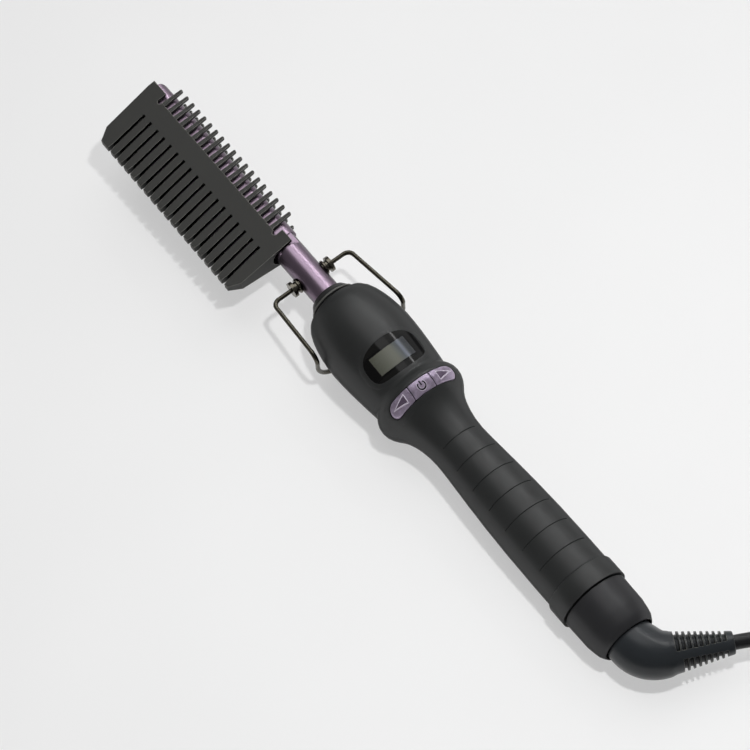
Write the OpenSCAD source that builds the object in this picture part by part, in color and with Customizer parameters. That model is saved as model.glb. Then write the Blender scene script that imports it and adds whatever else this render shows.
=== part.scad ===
// Electric hot comb: a heated comb bar in a slotted guard, a fold-away wire stand, a handle with
// a display and three buttons, and a mains cord that swivels in the tail.
//
// The tool's own axis is X: comb toward -X, tail toward +X, display toward +Z and long teeth
// toward -Y. x = 0 is the front face of the handle. place_tool() then stands the tool on its
// folded stand and its end band, with the floor at z = 0. The cord lies coiled on that floor.

/* [Comb guard] */
// Length of the guard at the tool's axis
guard_len = 95.6; // [88:0.1:110]
// Distance from the guard's tail edge to the front face of the handle
neck_len = 32.8; // [31:0.1:45]
// Depth of the guard from the top edge of its plates to the tooth tips
guard_depth = 28.2; // [26:0.1:34]
// Distance of the plates' top edge below the tool's axis
plate_drop = 0.5; // [0.3:0.1:1]
// Thickness of the guard over both plates at their top edge
guard_top_t = 12.3; // [12.1:0.1:14]
// Thickness of the guard at the tooth tips
guard_tip_t = 2.9; // [2.6:0.1:4]
// Wall of the guard's plates
guard_wall = 1.5; // [1.3:0.1:1.7]
// Wall at the two ends of the guard
end_wall = 1.6; // [1.2:0.1:2]
// Solid length of each tooth tip, below the channel
solid_tip = 5.7; // [4:0.1:7]
// Lean of teeth and slots toward the handle
tooth_lean = 5.4; // [3:0.1:7]
// Width of a slot between two long teeth
slot_w = 1.1; // [0.9:0.1:1.4]
// Pitch of the slots
slot_pitch = 4.664; // [4.4:0.01:5.4]
// Length of a slot
slot_len = 19.3; // [16:0.1:20]
// Width of a slot's mouth between the tooth tips
slot_mouth = 2.1; // [1.6:0.1:2.4]
// Length of the flare at a slot's mouth
flare_len = 3.5; // [2.5:0.1:4.5]
// Distance from the guard's tip edge to the first slot
first_slot = 9.8; // [9:0.1:12]
// Least distance from the last slot to the guard's tail edge
last_slot = 6.4; // [6.2:0.1:9]
// Height of the short teeth above the plates
short_h = 9.9; // [8:0.1:12]
// Width of a short tooth at its base
short_base = 2; // [1.8:0.1:2.4]
// Width of a short tooth at its tip
short_tip = 1.2; // [0.9:0.1:1.5]
// Pitch of the short teeth
short_pitch = 4.13; // [3.8:0.01:5]
// Thickness of the short teeth
short_t = 1.4; // [1.1:0.05:1.4]
// Distance from the guard's tip edge to the first short tooth
first_short = 11.35; // [11:0.05:14]
// Least distance from the last short tooth to the guard's tail edge
last_short = 9.8; // [9.5:0.1:13]
// Height of the end tabs above the tool's axis at the tip
tip_tab_h = 3.1; // [2.5:0.1:3.5]
// Height of the end tabs above the tool's axis at the tail
tail_tab_h = 2.3; // [1.8:0.1:3]
// Length of the tabs at the tip
tip_tab_len = 8.2; // [6:0.1:8.4]
// Length of the tabs at the tail
tail_tab_len = 6; // [4:0.1:6.4]

/* [Comb head] */
// Radius of the comb head's round back
back_r = 4.4; // [4.1:0.05:4.5]
// Height of the back's centre above the tool's axis
back_rise = 2.5; // [2:0.1:3]
// Depth of the bar below the tool's axis
bar_depth = 6.5; // [6:0.1:7]
// Clearance between the comb head and the guard
guard_gap = 0.27; // [0.2:0.01:0.35]
// Width of a heated tooth
hot_tooth_w = 3; // [2.6:0.1:3.2]
// Reach of the heated teeth below the tool's axis
hot_reach = 21; // [18:0.1:22]
// Radius of the comb head's shank
shank_r = 6; // [5.8:0.05:6]
// Width of the flats on the shank
shank_flat = 7.6; // [7:0.1:7.6]
// Length of the spigot inside the neck tube
spigot_len = 9.2; // [7:0.1:10]
// Depth of the heater pocket, along the teeth
pocket_depth = 4.6; // [4.2:0.1:5]
// Height of the heater pocket
pocket_h = 2.8; // [2.6:0.1:3.2]
// Length of the heater element
heater_len = 70; // [60:1:76]
// Thickness of a mica sheet
mica_t = 0.3; // [0.2:0.05:0.4]
// Radius of the bore for the leads
lead_bore_r = 3.2; // [3:0.1:3.6]

/* [Neck] */
// Outer radius of the neck tube
tube_r = 6; // [5.9:0.05:6.2]
// Wall of the neck tube
tube_wall = 0.8; // [0.6:0.05:0.85]
// Length of the neck tube inside the handle
tube_grip = 18.9; // [18:0.1:20]
// Distance from the handle's front face forward to the stand's pivot
pivot_reach = 17.8; // [16:0.1:19]
// Radius of a bush's spigot in the tube's wall
bush_spigot_r = 1.9; // [1.7:0.05:2]
// Radius of a bush's body
bush_r = 2.25; // [2.2:0.05:2.6]
// Radius of a bush's flange
bush_flange_r = 3.25; // [3:0.05:3.6]
// Distance from the tool's axis to a bush's flange
bush_flange_y = 8.2; // [7.8:0.1:8.6]
// Thickness of a bush's flange
bush_flange_t = 1.5; // [1:0.1:1.8]

/* [Wire stand] */
// Radius of the stand's wire
wire_r = 0.8; // [0.7:0.05:0.9]
// Distance from the tool's axis to the stand's legs at the pivots
leg_y = 18.6; // [17:0.1:19]
// Distance from the tool's axis to the stand's legs at their ends
leg_end_y = 20.85; // [20.6:0.05:22]
// Length of a leg
leg_len = 33.2; // [32:0.1:35]
// Rise of the folded legs toward the tail
leg_rise = 8.65; // [7:0.05:10]
// Length from the legs' ends down to the foot
foot_drop = 25.1; // [24.8:0.1:27]
// Direction of that drop below the tool's axis
foot_angle = 96; // [92:0.5:98]
// Bend radius beside the pivots
pivot_bend = 3; // [2:0.1:4]
// Bend radius at the legs' ends
knee_bend = 3.5; // [3:0.1:4.5]
// Bend radius of the round foot
foot_bend = 16; // [14:0.1:17]
// Radial clearance of the wire in its bushes
wire_play = 0.05; // [0.03:0.01:0.08]

/* [Handle] */
// Wall of the handle's shells
shell_wall = 2.2; // [1.8:0.1:2.4]
// Radius of the handle's front shoulder
nose_r = 12.5; // [12.2:0.1:13]
// Radius around the display
belly_r = 18.8; // [18.6:0.1:19]
// Distance from the front face to the widest place around the display
belly_x = 21.3; // [20:0.1:24]
// Radius of the waist before the buttons
waist_r = 16.8; // [16.5:0.1:17.5]
// Distance from the front face to that waist
waist_x = 46.9; // [46:0.1:48]
// Radius of the ring that carries the buttons
bulge_r = 18.9; // [18.5:0.1:19.1]
// Distance from the front face to the crest of that ring
bulge_x = 52.8; // [52:0.1:53.5]
// Radius where the ring runs out into the grip
bulge_end_r = 15.4; // [15:0.1:16]
// Distance from the front face to that place
bulge_end_x = 60.2; // [59.5:0.1:61]
// Radius of the grip at its thinnest place
thin_r = 11.3; // [11.2:0.1:12]
// Distance from the front face to the thinnest place
thin_x = 77.4; // [76:0.1:79]
// Radius of the grip toward the tail
grip_r = 13.65; // [13.4:0.05:14]
// Distance from the front face to the straight end of the grip
grip_x = 136.9; // [130:0.1:140]
// Length of the handle from its front face to the end band
handle_len = 148.5; // [146:0.1:155]
// Number of grooves round the grip
groove_count = 7; // [3:1:7]
// Pitch of the grooves
groove_pitch = 10.25; // [9:0.05:10.5]
// Width of a groove
groove_w = 0.4; // [0.3:0.05:0.8]
// Depth of a groove
groove_depth = 0.3; // [0.2:0.05:0.5]
// Half the angle that a groove covers
groove_angle = 50; // [40:1:60]
// Length of the front collar
collar_len = 6.4; // [5.5:0.1:8]
// Radius of the front collar's rim
collar_r = 11.8; // [11.4:0.1:12]

/* [Display and buttons] */
// Distance from the front face to the display window
window_x = 30.1; // [29.5:0.1:31]
// Length of the display window along the handle
window_len = 14.9; // [13.5:0.1:15.2]
// Half the width of the display window
window_half = 12.1; // [11:0.1:12.4]
// Radius of the window's curved front edge
window_arc = 28; // [24:0.5:40]
// Thickness of the display lens
lens_t = 1.3; // [1:0.1:1.4]
// Width of the ledge under the lens
lens_ledge = 1.2; // [0.8:0.1:1.5]
// Distance from the front face to the row of buttons
button_x = 52.7; // [52.3:0.1:53]
// Length of the buttons along the handle
button_len = 5.7; // [5:0.1:6]
// Half the width of the middle button
power_half = 5.3; // [4.8:0.1:5.8]
// Distance from the middle of the row to its outer ends
row_half = 14.6; // [14.2:0.1:14.8]
// Thickness of the button caps
cap_t = 1.8; // [1.5:0.1:2]
// Height of the button caps above the shell
cap_proud = 0.3; // [0.1:0.05:0.5]
// Slit between a button and what is beside it
button_slit = 0.4; // [0.3:0.05:0.5]
// Travel of a button
button_travel = 0.4; // [0.3:0.05:0.5]
// Height of the circuit board's top face above the tool's axis
board_top = 6.6; // [6:0.1:7]
// Thickness of the circuit board
board_t = 1.6; // [1.2:0.1:1.6]
// Half the width of the circuit board
board_half = 12.2; // [12:0.1:12.4]

/* [Tail] */
// Radius of the end band
band_r = 14.5; // [14.2:0.1:15]
// Length of the end band
band_len = 9; // [8:0.1:10]
// Wall of the end band
band_wall = 1.45; // [1.2:0.05:1.5]
// Radius of the tail cap
cap_r = 13.6; // [13.2:0.1:14]
// Length of the tail cap
cap_len = 19.5; // [19:0.1:21]
// Gap between the end band and the tail cap
cap_gap = 0.5; // [0.3:0.1:0.8]
// Radius of the tail cap's opening
cap_mouth_r = 10.6; // [10.3:0.1:11]
// Radius of the swivel shank
swivel_r = 6; // [5.5:0.1:6.5]
// Radial running clearance of the swivel and length clearance of its retainer
swivel_play = 0.05; // [0.03:0.01:0.09]

/* [Cord] */
// Radius of the strain relief where it leaves the tail
relief_r = 9.7; // [9.2:0.1:9.8]
// Bend radius of the strain relief
relief_bend = 14; // [13:0.5:18]
// Angle that the strain relief bends through
relief_turn = 61.5; // [50:0.5:70]
// Length of the straight part of the strain relief
relief_len = 24.3; // [22:0.1:28]
// Radius of the strain relief at its end
relief_tip_r = 4.35; // [4:0.05:4.6]
// Number of slots on each side of the strain relief
relief_slots = 9; // [4:1:9]
// Diameter of the cord
cord_d = 5.6; // [5.2:0.1:5.8]
// Length of the straight cord behind the strain relief
lead_straight = 14; // [10:0.5:18]
// Bend radius of the cord behind that
lead_bend = 30; // [26:1:36]
// Length of the cord that runs straight to the coil
lead_run = 50.3; // [48:0.1:80]
// Radius at the middle of the coil's turns
coil_r = 32.75; // [31:0.05:36]
// Number of turns in each of the coil's layers
layer_turns = 2; // [2:1:3]
// Number of layers in the coil
coil_layers = 4; // [2:2:4]
// Width of the coil's tie
tie_w = 6; // [4:0.5:10]

/* [Plug] */
// Width of the plug's body
plug_w = 25; // [23:0.5:28]
// Height of the plug's body
plug_h = 16.5; // [16:0.5:18]
// Length of the plug's body
plug_len = 25; // [22:0.5:32]
// Distance between the plug's blades
blade_pitch = 12.7; // [12.7]
// Length of a blade
blade_len = 17.5; // [15.9:0.1:18.3]

/* [Hidden] */
$fn = 72;
eps = 0.01;
through = 60;

black = [0.16, 0.16, 0.17];
guard_black = [0.24, 0.24, 0.235];
purple = [0.45, 0.36, 0.48];
button_purple = [0.6, 0.52, 0.66];
steel = [0.6, 0.6, 0.58];
copper = [0.72, 0.45, 0.25];
ivory = [0.85, 0.82, 0.74];

// ---- guard and comb head, derived ----
tail_x = -neck_len;
tip_x = tail_x - guard_len;
plate_y = -plate_drop;
tips_y = plate_y - guard_depth;
wedge_slope = (guard_top_t - guard_tip_t) / 2 / guard_depth;
solid_y = tips_y + solid_tip;
slot_top_y = tips_y + slot_len;
slot_count = floor((guard_len - first_slot - last_slot) / slot_pitch) + 1;
short_count = floor((guard_len - first_short - last_short) / short_pitch) + 1;
tip_edge_lean = 6.4;
tail_edge_lean = 2.1;
corner_cut = 5.3;
notch_y = -3.5;
notch_w = 2.2;
notch_floor = 1.3;
short_root = 0.3;
bar_tip_x = tip_x + 0.9;
bar_tail_x = tail_x - end_wall - 2.7;
pocket_tip_x = bar_tip_x + 6;
tube_front_x = tail_x + 1.5;
heater_x = pocket_tip_x + 2;
heater_end_x = heater_x + heater_len;
heater_gap = 0.1;
heater_t = pocket_h - 2 * mica_t - 2 * heater_gap;
tube_in_r = tube_r - tube_wall;
fit_gap = 0.05;
pivot_x = -pivot_reach;
lead_r = 0.6;
lead_y = 1.4;
fuse_x = -10;
fuse_len = 8;
fuse_r = 1;

// Half the guard's outer thickness at height y
function guard_half(y) = guard_tip_t / 2 + wedge_slope * (y - tips_y);

// ---- stand, derived ----
leg_run = sqrt(pow(leg_len, 2) - pow(leg_end_y - leg_y, 2));
knee_x = pivot_x + leg_run * cos(leg_rise);
knee_z = leg_run * sin(leg_rise);
foot_x = knee_x + foot_drop * cos(foot_angle);
foot_z = knee_z - foot_drop * sin(foot_angle);
wire_end_y = tube_in_r + 0.2;
wire_lap = 0.1;

// ---- handle, derived ----
band_x = handle_len;
band_end_x = band_x + band_len;
cap_x = band_end_x + cap_gap;
tail_end_x = cap_x + cap_len;
spigot_r = band_r - band_wall - fit_gap;
tail_in_r = spigot_r - 1.8;

// A point on a cubic Bezier curve
function bezier(p, t) = pow(1 - t, 3) * p[0] + 3 * pow(1 - t, 2) * t * p[1]
    + 3 * (1 - t) * t * t * p[2] + pow(t, 3) * p[3];
function curve(p, steps) = [for (i = [1:steps]) bezier(p, i / steps)];

// Outline of the handle as [x, radius], from the front shoulder to the end band
handle_profile = concat([[0, nose_r]],
    curve([[0, nose_r], [0.7, nose_r + 3.7], [belly_x - 9.4, belly_r - 0.2], [belly_x, belly_r]], 7),
    curve([[belly_x, belly_r], [belly_x + 7.6, belly_r], [waist_x - 7, waist_r + 0.8],
        [waist_x, waist_r]], 5),
    curve([[waist_x, waist_r], [waist_x + 1.5, waist_r + 0.1], [bulge_x - 3.4, bulge_r],
        [bulge_x, bulge_r]], 5),
    curve([[bulge_x, bulge_r], [bulge_x + 3.4, bulge_r], [bulge_end_x - 1.8, bulge_end_r + 1.2],
        [bulge_end_x, bulge_end_r]], 5),
    curve([[bulge_end_x, bulge_end_r], [bulge_end_x + 2.7, bulge_end_r - 1.8], [thin_x - 8.5, thin_r],
        [thin_x, thin_r]], 5),
    curve([[thin_x, thin_r], [thin_x + 8.5, thin_r], [grip_x - 33, grip_r], [grip_x, grip_r]], 6),
    [[handle_len, grip_r]]);
function handle_r(x) = lookup(x, handle_profile);

mount_x = shell_wall + 0.1;
mount_len = 12.9;
mount_r = 12;
clip_x = mount_x + mount_len + 0.1;
clip_t = 1;
clip_r = 9;
rib_x = mount_x + mount_len + 0.2;
rib_t = 1.8;
rib_r = 9.5;

// Board, its posts and what is on it
lcd_len = 8;
lcd_half = 8.4;
lcd_glass_t = 1.1;
chip_at = [34, -3];
chip_size = [7, 6, 1.2];
driver_at = [44, -6];
driver_size = [8, 10, 6];
capacitor_x = 63;
capacitor_r = 2.6;
capacitor_h = 4;
terminal_x = 67;
terminal_size = [2.5, 1.2];
board_x = 23.9;
board_end_x = 58.2;
tongue_end_x = 71.5;
tongue_half = 5.2;
board_bottom = board_top - board_t;
post_r = 2;
post_places = [[28, 8.5], [28, -8.5], [48.5, 8.5], [48.5, -8.5]];
board_screw_r = 0.8;
board_head_r = 1.7;
board_head_t = 1.1;
switch_w = 4.6;
switch_h = 2.6;
plunger_h = 0.8;
plunger_r = 1.2;
stem_r = 1.2;
stem_gap = 0.06;
side_switch_y = 9.6;
button_mid_x = button_x + button_len / 2;
end_round = 1.9;
stem_z = board_top + switch_h + plunger_h + button_travel + stem_gap;
socket_len = 6;
socket_half = 4.5;
socket_floor = 1.6;

// Screws that join the two shells, from below: [x, y]
shell_screw_places = [[21.1, 10.2], [21.1, -10.2], [76, 0], [136, 0]];
screw_r = 1;
screw_play = 0.04;
screw_head_r = 2.1;
screw_head_t = 1.5;
sink_r = 2.4;
boss_r = 2.5;
low_boss_r = 3.4;
screw_rise = 5;
seat_z = -5;

// ---- tail, derived ----
bulkhead_x = cap_x + 9.9;
bulkhead_t = 3;
retainer_t = 1.6;
retainer_r = 8;
shank_x = cap_x + 0.5;
shank_bore_r = 2.6;
relief_x = bulkhead_x + bulkhead_t + 0.2;
ring_places = [shank_x + 1.6, shank_x + 5];
ring_w = 1.6;
ring_r = swivel_r + 0.7;
brush_gap = 0.15;
brush_top = 9.3;
cap_cavity_r = 11.4;
supply_r = 0.9;
supply_y = 4.5;
supply_z = 3;

// ---- strain relief, derived ----
bend_x = relief_x + 7.2;
relief_heading = [cos(relief_turn), sin(relief_turn), 0];
bend_end = [bend_x + relief_bend * sin(relief_turn), relief_bend * (1 - cos(relief_turn)), 0];
relief_end = bend_end + relief_len * relief_heading;
relief_bend_r = 8.6;
relief_slot_r = 7.9;
collar_run = 2.4;
slot_step = (relief_len - 2 * collar_run) / relief_slots;
slot_cut = 1.25;
slot_bite = 1.5;
spine_half = 1.2;

// ---- placing: the folded stand's foot and the end band both touch the floor ----
rest_run = band_end_x - foot_x;
rest_drop = -foot_z - band_r;
tilt = atan(rest_drop / rest_run) + asin(wire_r / sqrt(pow(rest_run, 2) + pow(rest_drop, 2)));
axis_h = band_end_x * sin(tilt) + band_r * cos(tilt);
mid_x = (tip_x + tail_end_x) / 2 * cos(tilt);
mid_y = (tips_y + leg_end_y + wire_r) / 2;

module place_tool() {
    translate([-mid_x, -mid_y, axis_h]) rotate([0, tilt, 0]) children();
}

// ---- the cord's way, in the placed frame: over the floor, round the coil and back to the plug ----
function placed(p) = [p[0] * cos(tilt) + p[2] * sin(tilt) - mid_x, p[1] - mid_y,
    p[2] * cos(tilt) - p[0] * sin(tilt) + axis_h];
function toward(angle) = [cos(angle), sin(angle)];
function ease(t) = let (u = min(1, max(0, t))) u * u * (3 - 2 * u);
function arc_len(angle, r) = angle * r * PI / 180;

// End of an arc that turns right from one heading to another
function arc_end(at, from, to, r) = at + r * [sin(from) - sin(to), cos(to) - cos(from)];

coil_angle = 98;
coil_heading = coil_angle - 90;
lift_angle = 52;
plug_bend = 30;
plug_straight = 4;
plug_neck_len = 12;
floor_z = cord_d / 2;
coil_spread = (layer_turns - lift_angle / 360 / coil_layers) * cord_d / 2;
coil_out_r = coil_r + coil_spread + cord_d / 2;
coil_in_r = coil_r - coil_spread - cord_d / 2;
coil_h = coil_layers * cord_d;
last_r = coil_r + coil_spread;
tie_t = 0.8;
tie_play = 0.3;

// The lead: straight out of the strain relief, round a bend and straight to the coil
lead_start = placed(relief_end - 0.4 * relief_heading);
bend_start_xy = [lead_start[0], lead_start[1]] + lead_straight * toward(relief_turn);
bend_end_xy = arc_end(bend_start_xy, relief_turn, coil_heading, lead_bend);
bend_run = arc_len(relief_turn - coil_heading, lead_bend);
fall_from = 4;
fall_run = 54;
function lead_z(run) = lead_start[2] + (floor_z - lead_start[2]) * ease((run - fall_from) / fall_run);
lead_route = concat(
    [for (i = [0:2]) let (run = i * lead_straight / 3, at = run * toward(relief_turn))
        [lead_start[0] + at[0], lead_start[1] + at[1], lead_z(run)]],
    [for (i = [0:5]) let (at = arc_end(bend_start_xy, relief_turn,
            relief_turn + (coil_heading - relief_turn) * i / 5, lead_bend))
        [at[0], at[1], lead_z(lead_straight + bend_run * i / 5)]],
    [for (i = [1:6]) let (at = bend_end_xy + lead_run * i / 6 * toward(coil_heading))
        [at[0], at[1], lead_z(lead_straight + bend_run + lead_run * i / 6)]]);
coil_at = bend_end_xy + lead_run * toward(coil_heading) - last_r * toward(coil_angle);

// The plug's end: it lifts off the coil's last turn and comes down the plug's side on top of the coil
lift_run = arc_len(lift_angle, last_r + 0.4);
lift_end_r = last_r + cord_d * lift_angle / 360;
lift_end_xy = coil_at + lift_end_r * toward(coil_angle);
plug_run = arc_len(coil_angle, plug_bend);
plug_z = coil_h + plug_h / 2 + 0.05;
rise_run = lift_run + plug_run - 8;
function plug_route_z(run) = coil_h - floor_z + (plug_z - coil_h + floor_z) * ease(run / rise_run);
plug_route = concat(
    [for (i = [0:6]) let (at = coil_at
            + (last_r + (lift_end_r - last_r) * i / 6) * toward(coil_angle + lift_angle * (1 - i / 6)))
        [at[0], at[1], plug_route_z(lift_run * i / 6)]],
    [for (i = [1:9]) let (at = arc_end(lift_end_xy, coil_heading, coil_heading - coil_angle * i / 9,
            plug_bend))
        [at[0], at[1], plug_route_z(lift_run + plug_run * i / 9)]],
    [let (at = arc_end(lift_end_xy, coil_heading, coil_heading - coil_angle, plug_bend))
        [at[0], at[1] - plug_straight, plug_z]]);
plug_at = plug_route[len(plug_route) - 1];

// ---- helpers ----
function unit(v) = v / norm(v);

// Turns an outline of [x, radius] points round the tool's axis, over angles from +Z toward +Y
module lathe(points, from = 0, to = 360) {
    rotate([0, 90, 0])
        rotate([0, 0, 180 - to])
            rotate_extrude(angle = to - from) polygon([for (p = points) [p[1], p[0]]]);
}

// A ring round the tool's axis
module ring(x, length, inner, outer) {
    lathe([[x, inner], [x + length, inner], [x + length, outer], [x, outer]]);
}

// A cylinder along the tool's axis
module rod_x(x, length, r, y = 0, z = 0) {
    translate([x, y, z]) rotate([0, 90, 0]) cylinder(h = length, r = r);
}

// An extrusion along X of an outline given as [y, z]
module along_x(x, length) {
    translate([x, 0, 0]) rotate([90, 0, 90]) linear_extrude(length) children();
}

// The guard's wedge section between two heights, thinner by `shrink` on each face
module wedge_section(low_y, high_y, shrink) {
    low = guard_half(low_y) - shrink;
    high = guard_half(high_y) - shrink;
    polygon([[low_y, -low], [high_y, -high], [high_y, high], [low_y, low]]);
}

function frame_matrix(x, y, at) = let (z = cross(x, y))
    [[x[0], y[0], z[0], at[0]], [x[1], y[1], z[1], at[1]], [x[2], y[2], z[2], at[2]], [0, 0, 0, 1]];

module straight_wire(a, b, r) {
    d = unit(b - a);
    side = unit(cross(d, abs(d[2]) < 0.9 ? [0, 0, 1] : [1, 0, 0]));
    multmatrix(frame_matrix(side, cross(d, side), a)) cylinder(h = norm(b - a), r = r);
}

// Wire through the points, with an elbow of the given radius at each inner point. The straight
// lengths are a hair thinner and run a little way into the elbows.
module bent_wire(points, bends, r) {
    last = len(points) - 1;
    dirs = [for (i = [0:last - 1]) unit(points[i + 1] - points[i])];
    turns = [for (i = [1:last - 1]) acos(dirs[i - 1] * dirs[i])];
    cuts = [for (i = [1:last - 1]) bends[i - 1] * tan(turns[i - 1] / 2)];
    for (i = [0:last - 1]) {
        from = i == 0 ? 0 : cuts[i - 1] - wire_lap;
        to = i == last - 1 ? 0 : cuts[i] - wire_lap;
        straight_wire(points[i] + from * dirs[i], points[i + 1] - to * dirs[i], r - eps);
    }
    for (i = [1:last - 1]) {
        d = dirs[i - 1];
        inward = unit(dirs[i] - (dirs[i] * d) * d);
        start = points[i] - cuts[i - 1] * d;
        multmatrix(frame_matrix(-inward, d, start + bends[i - 1] * inward))
            rotate_extrude(angle = turns[i - 1]) translate([bends[i - 1], 0]) circle(r = r);
    }
}

// A skin over a row of rings, each [centre, direction, radius]
function ring_points(at, dir, r, sides) = let (side = unit(cross(dir, [0, 0, 1])), up = cross(side, dir))
    [for (i = [0:sides - 1]) at + r * (cos(360 * i / sides) * side + sin(360 * i / sides) * up)];

module skin(rings, sides) {
    last = len(rings) - 1;
    points = [for (s = rings) each ring_points(s[0], s[1], s[2], sides)];
    walls = [for (i = [0:last - 1], j = [0:sides - 1]) let (k = (j + 1) % sides)
        [i * sides + j, i * sides + k, (i + 1) * sides + k, (i + 1) * sides + j]];
    start = [for (j = [sides - 1:-1:0]) j];
    end = [for (j = [0:sides - 1]) last * sides + j];
    polyhedron(points, concat([start], walls, [end]), convexity = 6);
}

// A tube of the cord's diameter along a route
module cord_along(route) {
    last = len(route) - 1;
    dirs = [for (i = [0:last]) unit(route[min(i + 1, last)] - route[max(i - 1, 0)])];
    skin([for (i = [0:last]) [route[i], dirs[i], cord_d / 2]], 12);
}

// ---- comb guard ----
// Side outline of the guard with its tabs and the notches beside them
module guard_outline() {
    tip_low_x = tip_x + (-tips_y - corner_cut) * tan(tip_edge_lean);
    tail_low_x = tail_x + (-tips_y - corner_cut) * tan(tail_edge_lean);
    difference() {
        polygon([[tip_x, tip_tab_h], [tip_x + tip_tab_len, tip_tab_h], [tip_x + tip_tab_len, plate_y],
            [tail_x - tail_tab_len, plate_y], [tail_x - tail_tab_len, tail_tab_h], [tail_x, tail_tab_h],
            [tail_x, 0], [tail_low_x, tips_y + corner_cut], [tail_low_x - 2.5, tips_y],
            [tip_low_x + 3.5, tips_y], [tip_low_x, tips_y + corner_cut], [tip_x, 0]]);
        for (x = [tip_x + tip_tab_len + notch_w / 2, tail_x - tail_tab_len - notch_w / 2])
            translate([x, plate_y - notch_floor + notch_w / 2]) {
                circle(d = notch_w);
                translate([-notch_w / 2, 0]) square([notch_w, 5]);
            }
    }
}

// One slot, from its round top down past the tips
module guard_slot() {
    translate([0, -slot_w / 2]) circle(d = slot_w);
    translate([-slot_w / 2, -slot_len - 2]) square([slot_w, slot_len + 2 - slot_w / 2]);
    polygon([[-slot_w / 2, flare_len - slot_len], [slot_w / 2, flare_len - slot_len],
        [slot_mouth / 2, -slot_len], [slot_mouth / 2, -slot_len - 2],
        [-slot_mouth / 2, -slot_len - 2], [-slot_mouth / 2, -slot_len]]);
}

module short_tooth() {
    lean = -short_h * tan(tooth_lean) * 0.7;
    translate([0, plate_y])
        polygon([[-short_base / 2, -short_root], [short_base / 2, -short_root],
            [lean + short_tip / 2, short_h - 0.5], [lean + short_tip / 4, short_h],
            [lean - short_tip / 4, short_h], [lean - short_tip / 2, short_h - 0.5]]);
}

// Section of an end wall: the wedge with a round-floored notch for the comb head
module end_wall_section() {
    notch_r = guard_half(notch_y) - guard_wall;
    mouth_r = guard_half(tip_tab_h + 1) - guard_wall;
    difference() {
        wedge_section(tips_y, tip_tab_h, 0);
        polygon(concat([[tip_tab_h + 1, -mouth_r]],
            [for (a = [0:15:180]) [notch_y - notch_r * sin(a), -notch_r * cos(a)]],
            [[tip_tab_h + 1, mouth_r]]));
    }
}

// Section of the two plates, joined at the tooth tips
module plate_section() {
    difference() {
        wedge_section(tips_y, tip_tab_h, 0);
        wedge_section(solid_y, tip_tab_h + 1, guard_wall);
    }
}

module comb_guard() color(guard_black) {
    intersection() {
        translate([0, 0, -through / 2]) linear_extrude(through) difference() {
            guard_outline();
            for (i = [0:slot_count - 1])
                translate([tip_x + first_slot + i * slot_pitch, slot_top_y])
                    rotate(tooth_lean) guard_slot();
        }
        union() {
            along_x(tip_x + end_wall, guard_len - 2 * end_wall) plate_section();
            along_x(tip_x - 5, 5 + end_wall) end_wall_section();
            along_x(tail_x - end_wall, 5 + end_wall) end_wall_section();
        }
    }
    for (side = [-1, 1]) {
        low = side > 0 ? guard_half(plate_y - short_root) - short_t : -guard_half(plate_y - short_root);
        translate([0, 0, low]) linear_extrude(short_t)
            for (i = [0:short_count - 1])
                translate([tip_x + first_short + i * short_pitch, 0]) short_tooth();
    }
}

// ---- comb head ----
// Side outline of the bar: its tip is rounded above and clears the guard's end wall below
module bar_outline() {
    top_y = back_rise + back_r + 1;
    round_r = 2.5;
    wall_clear = end_wall - (bar_tip_x - tip_x) + 0.5;
    polygon(concat(
        [for (a = [0:15:90]) [bar_tip_x + round_r * (1 - cos(a)), top_y - 1 - round_r * (1 - sin(a))]],
        [[bar_tail_x, top_y - 1], [bar_tail_x, -bar_depth], [bar_tip_x + wall_clear, -bar_depth],
            [bar_tip_x + wall_clear, notch_y], [bar_tip_x, notch_y + wall_clear]]));
}

module heated_tooth() {
    polygon([[-hot_tooth_w / 2, 0], [hot_tooth_w / 2, 0], [hot_tooth_w / 2 - 0.4, bar_depth - hot_reach],
        [0.4 - hot_tooth_w / 2, bar_depth - hot_reach]]);
}

module comb_head() color(purple) {
    shrink = guard_wall + guard_gap;
    difference() {
        union() {
            intersection() {
                translate([0, 0, -through / 2]) linear_extrude(through) bar_outline();
                along_x(bar_tip_x - 1, bar_tail_x - bar_tip_x + 2) {
                    wedge_section(-bar_depth, plate_y, shrink);
                    polygon([for (p = [[-1, -1], [1, -1], [1, 1], [-1, 1]])
                        [p[0] > 0 ? back_rise : plate_y - eps,
                            p[1] * (p[0] > 0 ? back_r : guard_half(plate_y - eps) - shrink)]]);
                    translate([back_rise, 0]) circle(r = back_r);
                }
            }
            intersection() {
                translate([0, 0, -through / 2]) linear_extrude(through)
                    for (i = [0:slot_count - 2])
                        translate([tip_x + first_slot + (i + 0.5) * slot_pitch
                            - (slot_top_y + bar_depth - 1) * tan(tooth_lean), 1 - bar_depth])
                            rotate(tooth_lean) heated_tooth();
                along_x(bar_tip_x, bar_tail_x - bar_tip_x)
                    wedge_section(-hot_reach, 2 - bar_depth, shrink);
            }
            intersection() {
                rod_x(bar_tail_x - 1, tube_front_x - bar_tail_x + 1, shank_r);
                translate([bar_tail_x - 1, -10, -shank_flat / 2])
                    cube([tube_front_x - bar_tail_x + 1, 20, shank_flat]);
            }
            rod_x(tube_front_x - 1, spigot_len + 1, tube_in_r - fit_gap);
        }
        translate([pocket_tip_x, -pocket_depth / 2, -pocket_h / 2])
            cube([bar_tail_x - pocket_tip_x, pocket_depth, pocket_h]);
        rod_x(bar_tail_x - eps, through, lead_bore_r);
    }
}

// ---- heater and its leads ----
module heater_element() color(ivory) {
    translate([heater_x, heater_gap - pocket_depth / 2, -heater_t / 2])
        cube([heater_len, pocket_depth - 2 * heater_gap, heater_t]);
}

module mica_sheets() color([0.75, 0.7, 0.55]) {
    for (z = [heater_t / 2, -heater_t / 2 - mica_t])
        translate([heater_x, heater_gap - pocket_depth / 2, z])
            cube([heater_len, pocket_depth - 2 * heater_gap, mica_t]);
}

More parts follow.
